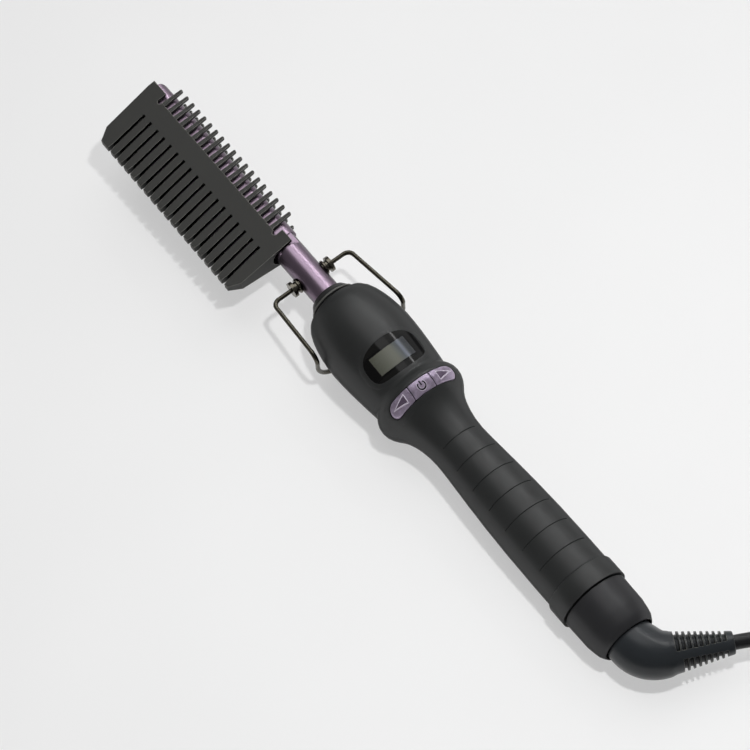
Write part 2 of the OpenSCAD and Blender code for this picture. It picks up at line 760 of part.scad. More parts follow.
module heater_leads() color("white") {
    rod_x(heater_end_x, board_x - heater_end_x, lead_r, -lead_y);
    rod_x(heater_end_x, fuse_x - heater_end_x, lead_r, lead_y);
    rod_x(fuse_x + fuse_len, board_x - fuse_x - fuse_len, lead_r, lead_y);
}

module thermal_fuse() color("silver") {
    rod_x(fuse_x, fuse_len, fuse_r, lead_y);
}

module thermistor() color([0.8, 0.4, 0.2]) {
    bead_r = lead_y - lead_r - 0.1;
    rod_x(heater_end_x + 0.1, 3, bead_r);
    rod_x(heater_end_x + 3, board_x - heater_end_x - 3, bead_r / 2);
}

// ---- neck ----
module neck_tube() color(purple) {
    difference() {
        ring(tube_front_x, tube_grip - tube_front_x, tube_in_r, tube_r);
        translate([pivot_x, 0, 0]) rotate([90, 0, 0])
            cylinder(h = 3 * tube_r, r = bush_spigot_r, center = true);
    }
}

// Bushes of the stand's pivots, seated in the tube's side holes
module stand_bushes() color(steel) {
    for (side = [-1, 1])
        translate([pivot_x, 0, 0]) rotate([-90 * side, 0, 0]) difference() {
            union() {
                translate([0, 0, tube_in_r]) cylinder(h = 2, r = bush_spigot_r - fit_gap);
                difference() {
                    translate([0, 0, tube_in_r]) cylinder(h = bush_flange_y - tube_in_r, r = bush_r);
                    rotate([0, 90, 0]) cylinder(h = 20, r = tube_r + fit_gap, center = true);
                }
                translate([0, 0, bush_flange_y]) cylinder(h = bush_flange_t, r = bush_flange_r);
            }
            cylinder(h = 20, r = wire_r + wire_play);
        }
}

module stand_wire() color(steel) {
    side = [[pivot_x, wire_end_y, 0], [pivot_x, leg_y, 0], [knee_x, leg_end_y, knee_z],
        [foot_x, leg_end_y, foot_z]];
    path = concat(side, [for (i = [3:-1:0]) [side[i][0], -side[i][1], side[i][2]]]);
    bent_wire(path, [pivot_bend, knee_bend, foot_bend, foot_bend, knee_bend, pivot_bend], wire_r);
}

module front_collar() color(black) {
    lathe([[-collar_len, tube_r + fit_gap], [-collar_len, 6.5], [0.6 - collar_len, 8],
        [2.5 - collar_len, 9.2], [-1.8, 9.8], [-1.6, 10.3], [-1.25, 10.3], [-1.1, 9.9], [-0.9, 9.9],
        [-0.8, collar_r - 0.9], [-0.4, collar_r - 0.2], [0, collar_r], [0, tube_r + fit_gap]]);
}

// ---- inside the handle's front ----
module barrel_mount() color(ivory) {
    ring(mount_x, mount_len, tube_r + fit_gap, mount_r);
}

module barrel_clip() color(steel) {
    ring(clip_x, clip_t, tube_r, clip_r);
}

// ---- handle shells ----
// Section of the shell's wall with its front face and its tail spigot
function shell_section() = concat([[0, tube_r + 0.1]], handle_profile,
    [[handle_len, spigot_r], [band_end_x, spigot_r], [band_end_x, tail_in_r], [handle_len, tail_in_r]],
    [for (i = [len(handle_profile) - 2:-1:1]) if (handle_profile[i][0] > shell_wall + 1)
        handle_profile[i] - [0, shell_wall]],
    [[shell_wall, nose_r - 0.4], [shell_wall, tube_r + 0.1]]);

// Outline of the display window seen from above
module window_outline(grow) {
    corner = 4;
    intersection() {
        translate([window_x + window_arc, 0]) circle(r = window_arc + grow);
        hull() for (x = [window_x + corner, window_x + window_len - corner],
            y = [corner - window_half, window_half - corner])
            translate([x, y]) circle(r = corner + grow, $fn = 32);
    }
}

// The space that the lens fills: the window's outline between two depths below the surface
module window_layer(grow, low, high) {
    stations = [for (i = [0:6]) window_x - 2 + i * (window_len + 4) / 6];
    intersection() {
        linear_extrude(through) window_outline(grow);
        lathe(concat([for (x = stations) [x, handle_r(x) + high]],
            [for (i = [6:-1:0]) [stations[i], handle_r(stations[i]) + low]]), -80, 80);
    }
}

// Outline of the row of buttons seen from above, between two places across the handle
module button_outline(from_y, to_y, grow) {
    half_len = button_len / 2 + grow;
    tip = end_round + grow;
    round_from = row_half - end_round;
    intersection() {
        polygon(concat(
            [for (a = [0:15:180]) [button_mid_x + half_len * cos(a), round_from + tip * sin(a)]],
            [for (a = [180:15:360]) [button_mid_x + half_len * cos(a), tip * sin(a) - round_from]]));
        translate([button_x - 5, from_y]) square([button_len + 10, to_y - from_y]);
    }
}

module handle_shell(from, to) {
    lathe(shell_section(), from, to);
    lathe([[rib_x, rib_r], [rib_x + rib_t, rib_r], [rib_x + rib_t, handle_r(rib_x) - 1],
        [rib_x, handle_r(rib_x) - 1]], from, to);
}

// The space inside the handle, out to the middle of its wall
module inner_space() {
    lathe(concat([[5, 0]], [for (q = handle_profile) if (q[0] > 5 && q[0] < grip_x) q - [0, 1]],
        [[handle_len - 2, grip_r - 1], [handle_len - 2, 0]]));
}

module handle_upper_shell() color(black) {
    difference() {
        union() {
            handle_shell(-90, 90);
            intersection() {
                for (p = shell_screw_places)
                    translate([p[0], p[1], 0]) cylinder(h = through, r = boss_r);
                inner_space();
            }
        }
        window_layer(0.15, -lens_t - 0.15, 3);
        window_layer(-lens_ledge, -5, 3);
        linear_extrude(through) button_outline(-row_half - 2, row_half + 2, button_slit);
        for (p = shell_screw_places)
            translate([p[0], p[1], -1]) cylinder(h = screw_rise + 2, r = screw_r + screw_play);
        for (i = [0:groove_count - 1]) {
            x = thin_x + i * groove_pitch;
            angle = i == 0 ? groove_angle - 9 : groove_angle;
            lathe([[x, handle_r(x) - groove_depth], [x + groove_w, handle_r(x) - groove_depth],
                [x + groove_w, grip_r + 2], [x, grip_r + 2]], -angle, angle);
        }
    }
}

module handle_lower_shell() color(black) {
    difference() {
        union() {
            handle_shell(90, 270);
            intersection() {
                union() {
                    for (p = shell_screw_places)
                        translate([p[0], p[1], -through]) cylinder(h = through, r = low_boss_r);
                    for (p = post_places)
                        translate([p[0], p[1], -through]) cylinder(h = through + board_bottom, r = post_r);
                }
                inner_space();
            }
        }
        for (p = shell_screw_places) {
            translate([p[0], p[1], -through]) cylinder(h = through + 1, r = screw_r + 0.15);
            translate([p[0], p[1], -through]) cylinder(h = through + seat_z, r = sink_r);
        }
        for (p = post_places)
            translate([p[0], p[1], board_bottom - 5.4]) cylinder(h = 6, r = board_screw_r + screw_play);
    }
}

module display_lens() color([0.05, 0.05, 0.05]) {
    window_layer(0, -lens_t, 0);
}

// ---- board and what is on it ----
module circuit_board() color([0.1, 0.35, 0.2]) {
    difference() {
        translate([0, 0, board_bottom]) linear_extrude(board_t) {
            translate([board_x, -board_half]) square([board_end_x - board_x, 2 * board_half]);
            translate([board_end_x - eps, -tongue_half])
                square([tongue_end_x - board_end_x + eps, 2 * tongue_half]);
        }
        for (p = post_places)
            translate([p[0], p[1], 0]) cylinder(h = through, r = board_screw_r + 0.15);
    }
}

module lcd_module() color([0.35, 0.36, 0.33]) {
    lcd_x = window_x + 4.1;
    frame_h = 5.2;
    rim = 0.6;
    translate([lcd_x, -lcd_half, board_top]) cube([lcd_len, 2 * lcd_half, frame_h]);
    translate([lcd_x + rim, rim - lcd_half, board_top + frame_h])
        cube([lcd_len - 2 * rim, 2 * (lcd_half - rim), lcd_glass_t]);
}

module board_components() color([0.2, 0.2, 0.22]) {
    translate([board_x, -socket_half, -socket_floor])
        cube([socket_len, 2 * socket_half, board_bottom + socket_floor]);
    translate([chip_at[0], chip_at[1], board_bottom - chip_size[2]]) cube(chip_size);
    translate([driver_at[0], driver_at[1], board_bottom - driver_size[2]]) cube(driver_size);
    translate([capacitor_x, 0, board_bottom - capacitor_h]) cylinder(h = capacitor_h, r = capacitor_r);
    for (side = [-1, 1])
        translate([terminal_x, side * supply_y - terminal_size[1] / 2, supply_z - supply_r])
            cube([terminal_size[0], terminal_size[1], board_bottom - supply_z + supply_r]);
}

module tact_switches() color("silver") {
    for (y = [-side_switch_y, 0, side_switch_y])
        translate([button_mid_x, y, board_top]) {
            translate([-switch_w / 2, -switch_w / 2, 0]) cube([switch_w, switch_w, switch_h]);
            translate([0, 0, switch_h - eps]) cylinder(h = plunger_h + eps, r = plunger_r);
        }
}

// A cap that follows the handle's surface, on a stem over its switch
module button(from_y, to_y, stem_y) {
    stations = [for (i = [0:6]) button_x - 0.5 + i * (button_len + 1) / 6];
    intersection() {
        linear_extrude(through) button_outline(from_y, to_y, 0);
        lathe(concat([for (x = stations) [x, handle_r(x) + cap_proud]],
            [for (i = [6:-1:0]) [stations[i], handle_r(stations[i]) - cap_t]]), -80, 80);
    }
    intersection() {
        translate([button_mid_x, stem_y, stem_z]) cylinder(h = 12, r = stem_r);
        lathe([[button_x, 0], [button_x + button_len, 0],
            [button_x + button_len, handle_r(button_x + button_len) - cap_t + 0.4],
            [button_mid_x, handle_r(button_mid_x) - cap_t / 2],
            [button_x, handle_r(button_x) - cap_t / 2]]);
    }
}

module button_power() color(button_purple) {
    button(-power_half, power_half, 0);
}

module button_up() color(button_purple) {
    button(power_half + button_slit, row_half, side_switch_y);
}

module button_down() color(button_purple) {
    button(-row_half, -power_half - button_slit, -side_switch_y);
}

module board_screws() color("silver") {
    for (p = post_places) {
        translate([p[0], p[1], board_bottom - 4.5]) cylinder(h = 4.5 + board_t, r = board_screw_r);
        translate([p[0], p[1], board_top]) cylinder(h = board_head_t, r = board_head_r);
    }
}

module shell_screws() color("silver") {
    for (p = shell_screw_places) {
        translate([p[0], p[1], seat_z]) cylinder(h = screw_rise - seat_z, r = screw_r);
        translate([p[0], p[1], seat_z - screw_head_t]) difference() {
            cylinder(h = screw_head_t, r = screw_head_r);
            translate([-0.3, -1.5, -1]) cube([0.6, 3, 1.6]);
            translate([-1.5, -0.3, -1]) cube([3, 0.6, 1.6]);
        }
    }
}

// ---- tail ----
module end_band() color(black) {
    lathe([[band_x, band_r - band_wall], [band_x, band_r - 0.9], [band_x + 0.3, band_r - 0.3],
        [band_x + 1, band_r], [band_end_x, band_r], [band_end_x, band_r - band_wall]]);
}

module tail_cap() color(black) {
    mouth_x = bulkhead_x + bulkhead_t;
    bore = swivel_r + swivel_play;
    lathe([[cap_x - 6.5, tail_in_r - 0.1], [cap_x, tail_in_r - 0.1], [cap_x, cap_r],
        [cap_x + 11.4, cap_r - 0.2], [cap_x + 15.2, cap_r - 0.8], [cap_x + 17.1, cap_r - 1.25],
        [cap_x + 18.7, cap_r - 2.1], [tail_end_x, cap_r - 2.7], [tail_end_x, cap_mouth_r],
        [mouth_x, cap_mouth_r], [mouth_x, bore], [bulkhead_x, bore], [bulkhead_x, cap_cavity_r],
        [cap_x + 1.5, cap_cavity_r], [cap_x + 1.5, tail_in_r - 1.8], [cap_x - 6.5, tail_in_r - 1.8]]);
}

module brush_carrier() color(ivory) {
    translate([ring_places[0] - 0.4, -3, brush_top]) cube([ring_places[1] - ring_places[0] + ring_w + 0.8,
        6, 1.6]);
}

module contact_brushes() color(copper) {
    for (x = ring_places)
        translate([x, -1.2, ring_r + brush_gap]) cube([ring_w, 2.4, brush_top - ring_r - brush_gap]);
}

module supply_leads() color("saddlebrown") {
    from_x = terminal_x + terminal_size[0];
    for (side = [-1, 1])
        rod_x(from_x, shank_x - 1 - from_x, supply_r, side * supply_y, supply_z);
}

module swivel_shank() color(black) {
    ring(shank_x, relief_x - shank_x, shank_bore_r, swivel_r);
}

module swivel_retainer() color(steel) {
    ring(bulkhead_x - retainer_t - 0.1, retainer_t, swivel_r, retainer_r);
}

module contact_rings() color(copper) {
    for (x = ring_places)
        ring(x, ring_w, swivel_r, ring_r);
}

// ---- strain relief and cord ----
// Centre, direction and radius of the strain relief's rings
function relief_rings() = concat(
    [[[relief_x, 0, 0], [1, 0, 0], relief_r], [[bend_x, 0, 0], [1, 0, 0], relief_r + 0.1]],
    [for (i = [1:6]) let (a = relief_turn * i / 6, share = i / 6)
        [[bend_x + relief_bend * sin(a), relief_bend * (1 - cos(a)), 0], [cos(a), sin(a), 0],
            relief_r + 0.1 + 0.5 * sin(180 * share) - (relief_r + 0.1 - relief_bend_r) * pow(share, 1.5)]],
    [[bend_end + collar_run * relief_heading, relief_heading, relief_slot_r],
        [relief_end - 0.4 * relief_heading, relief_heading, relief_tip_r],
        [relief_end, relief_heading, relief_tip_r - 0.4]]);

// One slot across one side of the strain relief, `run` along its straight part
module relief_slot(run, side) {
    share = (run - collar_run) / (relief_len - collar_run);
    r = relief_slot_r + (relief_tip_r - relief_slot_r) * share;
    translate(bend_end + run * relief_heading) rotate([0, 0, relief_turn]) rotate([0, 90, 0])
        difference() {
            translate([-through / 2, side > 0 ? 0 : -through / 2, 0]) cube([through, through / 2, slot_cut]);
            translate([0, 0, -1]) cylinder(h = slot_cut + 2, r = r - slot_bite, $fn = 24);
            translate([-through, -spine_half, -1]) cube([2 * through, 2 * spine_half, slot_cut + 2]);
        }
}

module strain_relief() color([0.18, 0.19, 0.2]) {
    difference() {
        skin(relief_rings(), 24);
        for (i = [0:relief_slots - 1], side = [-1, 1])
            if (side > 0 || i > 0)
                relief_slot(collar_run + i * slot_step + 0.4, side);
    }
}

module cord_tube() color([0.12, 0.12, 0.13]) {
    cord_along(lead_route);
    cord_along(plug_route);
}

module cord_coil() color([0.12, 0.12, 0.13]) {
    corner = cord_d / 2;
    translate([coil_at[0], coil_at[1], 0]) difference() {
        rotate_extrude() {
            translate([coil_in_r, corner]) square([coil_out_r - coil_in_r, coil_h - 2 * corner]);
            translate([coil_in_r + corner, 0]) square([coil_out_r - coil_in_r - 2 * corner, coil_h]);
            for (x = [coil_in_r + corner, coil_out_r - corner], z = [corner, coil_h - corner])
                translate([x, z]) circle(r = corner);
        }
        translate([-tie_w / 2 - tie_play, -coil_out_r - 1, -1])
            cube([tie_w + 2 * tie_play, coil_out_r + 1, 1 + tie_t + tie_play]);
    }
}

// A strap round the coil's turns, flush with the floor below
module cord_tie() color(black) {
    low = coil_in_r - tie_play;
    high = coil_out_r + tie_play;
    top = coil_h + tie_play;
    translate([coil_at[0] + tie_w / 2, coil_at[1], 0]) rotate([0, -90, 0]) linear_extrude(tie_w)
        difference() {
            translate([0, -high - tie_t]) square([top + tie_t, high - low + 2 * tie_t]);
            translate([tie_t, -high]) square([top - tie_t, high - low]);
        }
}

// ---- plug ----
module plug_body() color(black) {
    translate(plug_at) rotate([90, 0, 0]) {
        cylinder(h = plug_neck_len, r1 = cord_d / 2 + 0.9, r2 = plug_h / 3);
        hull() {
            translate([0, 0, plug_neck_len]) linear_extrude(1) plug_outline(0.7);
            translate([0, 0, plug_neck_len + plug_len - 7]) linear_extrude(7) plug_outline(1);
        }
    }
}

// Rounded outline of the plug, at a share of its width
module plug_outline(share) {
    corner = plug_h / 3;
    for (x = [-1, 1], y = [-1, 1])
        translate([x * (plug_w * share / 2 - corner), y * (plug_h * (1 + share) / 4 - corner)])
            circle(r = corner, $fn = 32);
}

module plug_blades() color("gold") {
    blade_t = 1.5;
    blade_w = 6.3;
    face_y = plug_at[1] - plug_neck_len - plug_len;
    for (side = [-1, 1])
        translate([plug_at[0] + side * blade_pitch / 2, face_y, plug_at[2]]) difference() {
            translate([-blade_t / 2, -blade_len, -blade_w / 2]) cube([blade_t, blade_len, blade_w]);
            translate([0, 3.5 - blade_len, 0]) rotate([0, 90, 0])
                cylinder(h = 2 * blade_t, r = 1.55, center = true);
        }
}

place_tool() comb_guard();
place_tool() comb_head();
place_tool() heater_element();
place_tool() mica_sheets();
place_tool() heater_leads();
place_tool() thermistor();
place_tool() thermal_fuse();
place_tool() neck_tube();
place_tool() stand_bushes();
place_tool() stand_wire();
place_tool() front_collar();
place_tool() barrel_mount();
place_tool() barrel_clip();
place_tool() handle_upper_shell();
place_tool() handle_lower_shell();
place_tool() display_lens();
place_tool() lcd_module();
place_tool() circuit_board();
place_tool() board_components();
place_tool() tact_switches();
place_tool() button_power();
place_tool() button_up();
place_tool() button_down();
place_tool() board_screws();
place_tool() shell_screws();
place_tool() end_band();
place_tool() tail_cap();
place_tool() brush_carrier();
place_tool() contact_brushes();
place_tool() supply_leads();
place_tool() swivel_shank();
place_tool() swivel_retainer();
place_tool() contact_rings();
place_tool() strain_relief();
cord_tube();
cord_coil();
cord_tie();
plug_body();
plug_blades();
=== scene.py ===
"""Looks of the electric hot comb: camera, cord, materials, fine detail, lights and floor."""

import math

import bmesh
import bpy
from mathutils import Matrix, Vector


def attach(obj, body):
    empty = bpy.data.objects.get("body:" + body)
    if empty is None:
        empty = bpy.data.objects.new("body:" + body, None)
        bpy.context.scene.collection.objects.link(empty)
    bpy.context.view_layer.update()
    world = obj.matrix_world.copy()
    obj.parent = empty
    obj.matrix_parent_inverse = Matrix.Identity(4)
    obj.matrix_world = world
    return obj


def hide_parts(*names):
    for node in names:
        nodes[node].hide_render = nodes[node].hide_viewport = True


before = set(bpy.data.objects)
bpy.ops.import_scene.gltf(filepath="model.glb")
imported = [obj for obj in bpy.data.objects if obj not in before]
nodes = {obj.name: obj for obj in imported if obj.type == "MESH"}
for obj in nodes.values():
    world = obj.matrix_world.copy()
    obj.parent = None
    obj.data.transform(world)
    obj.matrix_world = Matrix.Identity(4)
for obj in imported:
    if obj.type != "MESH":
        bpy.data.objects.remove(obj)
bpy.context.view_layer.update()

# ---- the tool's own frame ----
# Millimetres, with the comb toward -X, the display toward +Z and the long teeth toward -Y. x = 0 is
# the front face of the handle. The tool lies tilted on its stand and its end band.
MM = 0.001
TILT = math.radians(2.477529)
MID_X, MID_Y, AXIS_H = 24.527052, -3.525, 21.294788
TOOL = (
    Matrix.Scale(MM, 4)
    @ Matrix.Translation((-MID_X, -MID_Y, AXIS_H))
    @ Matrix.Rotation(TILT, 4, "Y")
)
TOOL_TURN = Matrix.Rotation(TILT, 3, "Y")


def place(x, y, z):
    return TOOL @ Vector((x, y, z))


# ---- camera ----
VIEW_LEAN = math.radians(23.7)  # of the tool's axis toward the camera
VIEW_ROLL = math.radians(13.3)  # of the handle about its own axis
AIM_X, AIM_OFF = 31.9, -6.43  # middle of the picture, along the axis and to its side
CAMERA_REACH = 1063.0
LENS = 132.48
AXIS_RIGHT, AXIS_DOWN = 0.657, 0.7536  # the way the tool points in the picture

up_side = Vector((0, -math.sin(VIEW_ROLL), math.cos(VIEW_ROLL)))
across = Vector((0, math.cos(VIEW_ROLL), math.sin(VIEW_ROLL)))
back = Vector((math.sin(VIEW_LEAN), 0, 0)) + math.cos(VIEW_LEAN) * up_side
along = Vector((math.cos(VIEW_LEAN), 0, 0)) - math.sin(VIEW_LEAN) * up_side
right = (AXIS_RIGHT * along + AXIS_DOWN * across).normalized()
upward = (AXIS_RIGHT * across - AXIS_DOWN * along).normalized()


def add_camera():
    data = bpy.data.cameras.new("camera")
    data.lens = LENS
    camera = bpy.data.objects.new("camera", data)
    bpy.context.scene.collection.objects.link(camera)
    aim = Vector((AIM_X, 0, 0)) + AIM_OFF * across
    turn = TOOL_TURN @ Matrix((right, upward, back)).transposed()
    camera.matrix_world = Matrix.Translation(TOOL @ (aim + CAMERA_REACH * back)) @ turn.to_4x4()
    bpy.context.scene.camera = camera


add_camera()

# ---- cord: out of the strain relief, over the floor into a coil, and back to the plug ----
# The same way as in the part's source, in millimetres from the middle of the tool.
CORD_D = 5.6
LEAD_START = (177.292, 31.849, 12.563)
RELIEF_TURN = 61.5  # heading of the strain relief's tip, in degrees
LEAD_STRAIGHT, LEAD_BEND, LEAD_RUN = 14.0, 30.0, 50.3
FALL_FROM, FALL_RUN = 4.0, 54.0  # where the lead starts to come down to the floor, and over how far
COIL_R = 32.75
COIL_ANGLE, LIFT_ANGLE = 98.0, 52.0  # where the coil starts, and over what turn its end lifts off
LIFT_SWELL = 0.4  # how far outside the coil the lifting end runs, on average
LAYERS = 4
LAYER_TURNS = 2 - LIFT_ANGLE / 360 / LAYERS
PLUG_BEND, PLUG_STRAIGHT, PLUG_H = 30.0, 4.0, 16.5
PLUG_GAP, PLUG_LEVEL = 0.05, 8.0  # plug above the coil, and the cord's level run before it
COIL_HEADING = COIL_ANGLE - 90
COIL_H = LAYERS * CORD_D
COIL_IN, COIL_OUT = COIL_R - LAYER_TURNS * CORD_D / 2, COIL_R + LAYER_TURNS * CORD_D / 2
CLIMB = 0.12  # half the length of a climb to the next layer, in turns
POINTS_A_TURN = 16
START_STEPS, BEND_STEPS, RUN_STEPS = 3, 5, 6  # points along the lead's stretches
LIFT_STEPS, TURN_STEPS = 6, 9  # and along those from the coil to the plug


def toward(angle):
    return Vector((math.cos(math.radians(angle)), math.sin(math.radians(angle))))


def ease(t):
    t = max(0.0, min(1.0, t))
    return t * t * (3 - 2 * t)


def arc_end(at, start, end, radius):
    """End of an arc that turns right from one heading to another."""
    a, b = math.radians(start), math.radians(end)
    return at + radius * Vector((math.sin(a) - math.sin(b), math.cos(b) - math.cos(a)))


def lead_points():
    start = Vector(LEAD_START[:2])
    bend_start = start + LEAD_STRAIGHT * toward(RELIEF_TURN)
    bend_end = arc_end(bend_start, RELIEF_TURN, COIL_HEADING, LEAD_BEND)
    bend_run = math.radians(RELIEF_TURN - COIL_HEADING) * LEAD_BEND
    points = []

    def add(at, run):
        share = ease((run - FALL_FROM) / FALL_RUN)
        points.append((at.x, at.y, LEAD_START[2] + (CORD_D / 2 - LEAD_START[2]) * share))

    for i in range(START_STEPS):
        run = i * LEAD_STRAIGHT / START_STEPS
        add(start + run * toward(RELIEF_TURN), run)
    for i in range(BEND_STEPS + 1):
        heading = RELIEF_TURN + (COIL_HEADING - RELIEF_TURN) * i / BEND_STEPS
        at = arc_end(bend_start, RELIEF_TURN, heading, LEAD_BEND)
        add(at, LEAD_STRAIGHT + bend_run * i / BEND_STEPS)
    for i in range(1, RUN_STEPS + 1):
        run = LEAD_RUN * i / RUN_STEPS
        add(bend_end + run * toward(COIL_HEADING), LEAD_STRAIGHT + bend_run + run)
    return points, bend_end + LEAD_RUN * toward(COIL_HEADING) - COIL_OUT * toward(COIL_ANGLE)


def coil_point(turns):
    """Place on the coil's centreline after that many turns."""
    layer = min(int(turns / LAYER_TURNS), LAYERS - 1)
    run = turns - layer * LAYER_TURNS
    radius = COIL_OUT - CORD_D * run if layer % 2 == 0 else COIL_IN + CORD_D * run
    z = CORD_D / 2
    for k in range(1, LAYERS):
        share = (turns - k * LAYER_TURNS) / CLIMB
        z += CORD_D * (0.5 + 0.5 * math.sin(math.pi / 2 * max(-1, min(1, share))))
    at = COIL_AT + radius * toward(COIL_ANGLE - 360 * turns)
    return (at.x, at.y, z)


def plug_points():
    """Off the coil's last turn, round and down to the plug's neck on top of the coil."""
    lift_end_r = COIL_OUT + CORD_D * LIFT_ANGLE / 360
    lift_run = math.radians(LIFT_ANGLE) * (COIL_OUT + LIFT_SWELL)
    plug_run = math.radians(COIL_ANGLE) * PLUG_BEND
    low, high = COIL_H - CORD_D / 2, COIL_H + PLUG_H / 2 + PLUG_GAP
    points = []

    def add(at, run):
        share = ease(run / (lift_run + plug_run - PLUG_LEVEL))
        points.append((at.x, at.y, low + (high - low) * share))

    for i in range(1, LIFT_STEPS + 1):
        radius = COIL_OUT + (lift_end_r - COIL_OUT) * i / LIFT_STEPS
        at = COIL_AT + radius * toward(COIL_ANGLE + LIFT_ANGLE * (1 - i / LIFT_STEPS))
        add(at, lift_run * i / LIFT_STEPS)
    bend = COIL_AT + lift_end_r * toward(COIL_ANGLE)
    for i in range(1, TURN_STEPS + 1):
        at = arc_end(bend, COIL_HEADING, COIL_HEADING - COIL_ANGLE * i / TURN_STEPS, PLUG_BEND)
        add(at, lift_run + plug_run * i / TURN_STEPS)
    add(at - Vector((0, PLUG_STRAIGHT)), lift_run + plug_run + PLUG_STRAIGHT)
    return points


CORD_SIDES, CORD_STEPS = 6, 4  # resolution round the cord and along it, between points


def curve_object(name, points, radius):
    """A round tube along a smooth curve through points in metres."""
    data = bpy.data.curves.new(name, "CURVE")
    data.dimensions = "3D"
    data.bevel_depth = 1.0
    data.bevel_resolution = CORD_SIDES
    data.resolution_u = CORD_STEPS
    data.use_fill_caps = True
    spline = data.splines.new("BEZIER")
    spline.bezier_points.add(len(points) - 1)
    for knot, p in zip(spline.bezier_points, points):
        knot.co = p
        knot.radius = radius
        knot.handle_left_type = knot.handle_right_type = "AUTO"
    thing = bpy.data.objects.new(name, data)
    bpy.context.scene.collection.objects.link(thing)
    return thing


lead, COIL_AT = lead_points()
coil_steps = round(LAYERS * LAYER_TURNS * POINTS_A_TURN)
coil = [coil_point(i * LAYERS * LAYER_TURNS / coil_steps) for i in range(1, coil_steps + 1)]
cord_line = [Vector(p) * MM for p in lead + coil + plug_points()]
cord = curve_object("mains_cord", cord_line, CORD_D / 2 * MM)
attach(cord, "cord")
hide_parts("cord_tube", "cord_coil")


# ---- materials ----
def srgb(level):
    """Linear colour of sRGB numbers from 0 to 255."""
    out = []
    for c in level:
        c = c / 255
        out.append(c / 12.92 if c <= 0.04045 else ((c + 0.055) / 1.055) ** 2.4)
    return (*out, 1.0)


class Nodes:
    """A small helper that adds and links shader nodes."""

    def __init__(self, name):
        self.material = bpy.data.materials.new(name)
        self.material.use_nodes = True
        self.tree = self.material.node_tree
        self.shader = self.tree.nodes["Principled BSDF"]
        self.place = self.tree.nodes.new("ShaderNodeTexCoord").outputs["Object"]

    def add(self, kind, inputs=None, **settings):
        node = self.tree.nodes.new(kind)
        for key, value in settings.items():
            setattr(node, key, value)
        for key, value in (inputs or {}).items():
            if isinstance(value, bpy.types.NodeSocket):
                self.tree.links.new(value, node.inputs[key])
            else:
                node.inputs[key].default_value = value
        return node

    def link(self, output, name):
        self.tree.links.new(output, self.shader.inputs[name])

    def noise(self, size, detail=3.0, stretch=None):
        """Noise whose features are about that many millimetres across."""
        where = self.place
        if stretch:
            where = self.add("ShaderNodeMapping", {"Vector": where, "Scale": stretch}).outputs[0]
        return self.add(
            "ShaderNodeTexNoise", {"Vector": where, "Scale": 1000 / size, "Detail": detail}
        ).outputs["Fac"]

    def tool_axes(self):
        """Sockets of the place in the tool's own frame, in millimetres: x, y and z."""
        back_shift = Matrix.Rotation(-TILT, 3, "Y") @ Vector((MID_X, MID_Y, -AXIS_H))
        tool = self.add("ShaderNodeMapping", {
            "Vector": self.place, "Location": back_shift, "Rotation": (0, -TILT, 0),
            "Scale": (1000, 1000, 1000),
        })
        return self.add("ShaderNodeSeparateXYZ", {"Vector": tool.outputs[0]}).outputs

    def inside(self, value, low, high, soft):
        """1 where the value lies between low and high, with an edge that is `soft` wide."""
        rising = self.band(value, low - soft / 2, low + soft / 2)
        falling = self.band(value, high - soft / 2, high + soft / 2, 1.0, 0.0)
        return self.math("MULTIPLY", rising, falling)

    def band(self, value, low, high, to_low=0.0, to_high=1.0):
        """A value that goes from one number to another while `value` goes from low to high."""
        return self.add("ShaderNodeMapRange", {
            "Value": value, "From Min": low, "From Max": high, "To Min": to_low, "To Max": to_high,
        }).outputs[0]

    def mix(self, share, a, b):
        """Colour between a and b."""
        return self.add("ShaderNodeMix", {0: share, 6: a, 7: b}, data_type="RGBA").outputs[2]

    def math(self, kind, a, b=0.0):
        return self.add("ShaderNodeMath", {0: a, 1: b}, operation=kind).outputs[0]

    def less(self, share, value):
        """The value where the share is 0, falling to 0 where the share is 1."""
        return self.math("MULTIPLY", self.math("SUBTRACT", 1.0, share), value)


GRAIN_BAND = (0.35, 0.65)  # the part of a noise's range that does most of the work
GLINT_TURN = (0.9, 0.99)  # cosine between rounded and flat normal, at the full painted edge highlight and at none
OPEN = (0.35, 0.85)  # share of open space around a spot, at full painted shade and at none
RECESS_SHADE_TONE, RECESS_SHARE = 0.1, 0.95  # painted shade in slots and gaps: the tone left there, and how much of it is mixed in
# Painted shade at the outline, where the surface turns from the camera: the tone left there, and
# the range of facing over which it grows
OUTLINE_SHADE_TONE, OUTLINE_SHADE_BAND = 0.2, (0.2, 0.7)
GRAZE_BAND = (0.3, 0.7)


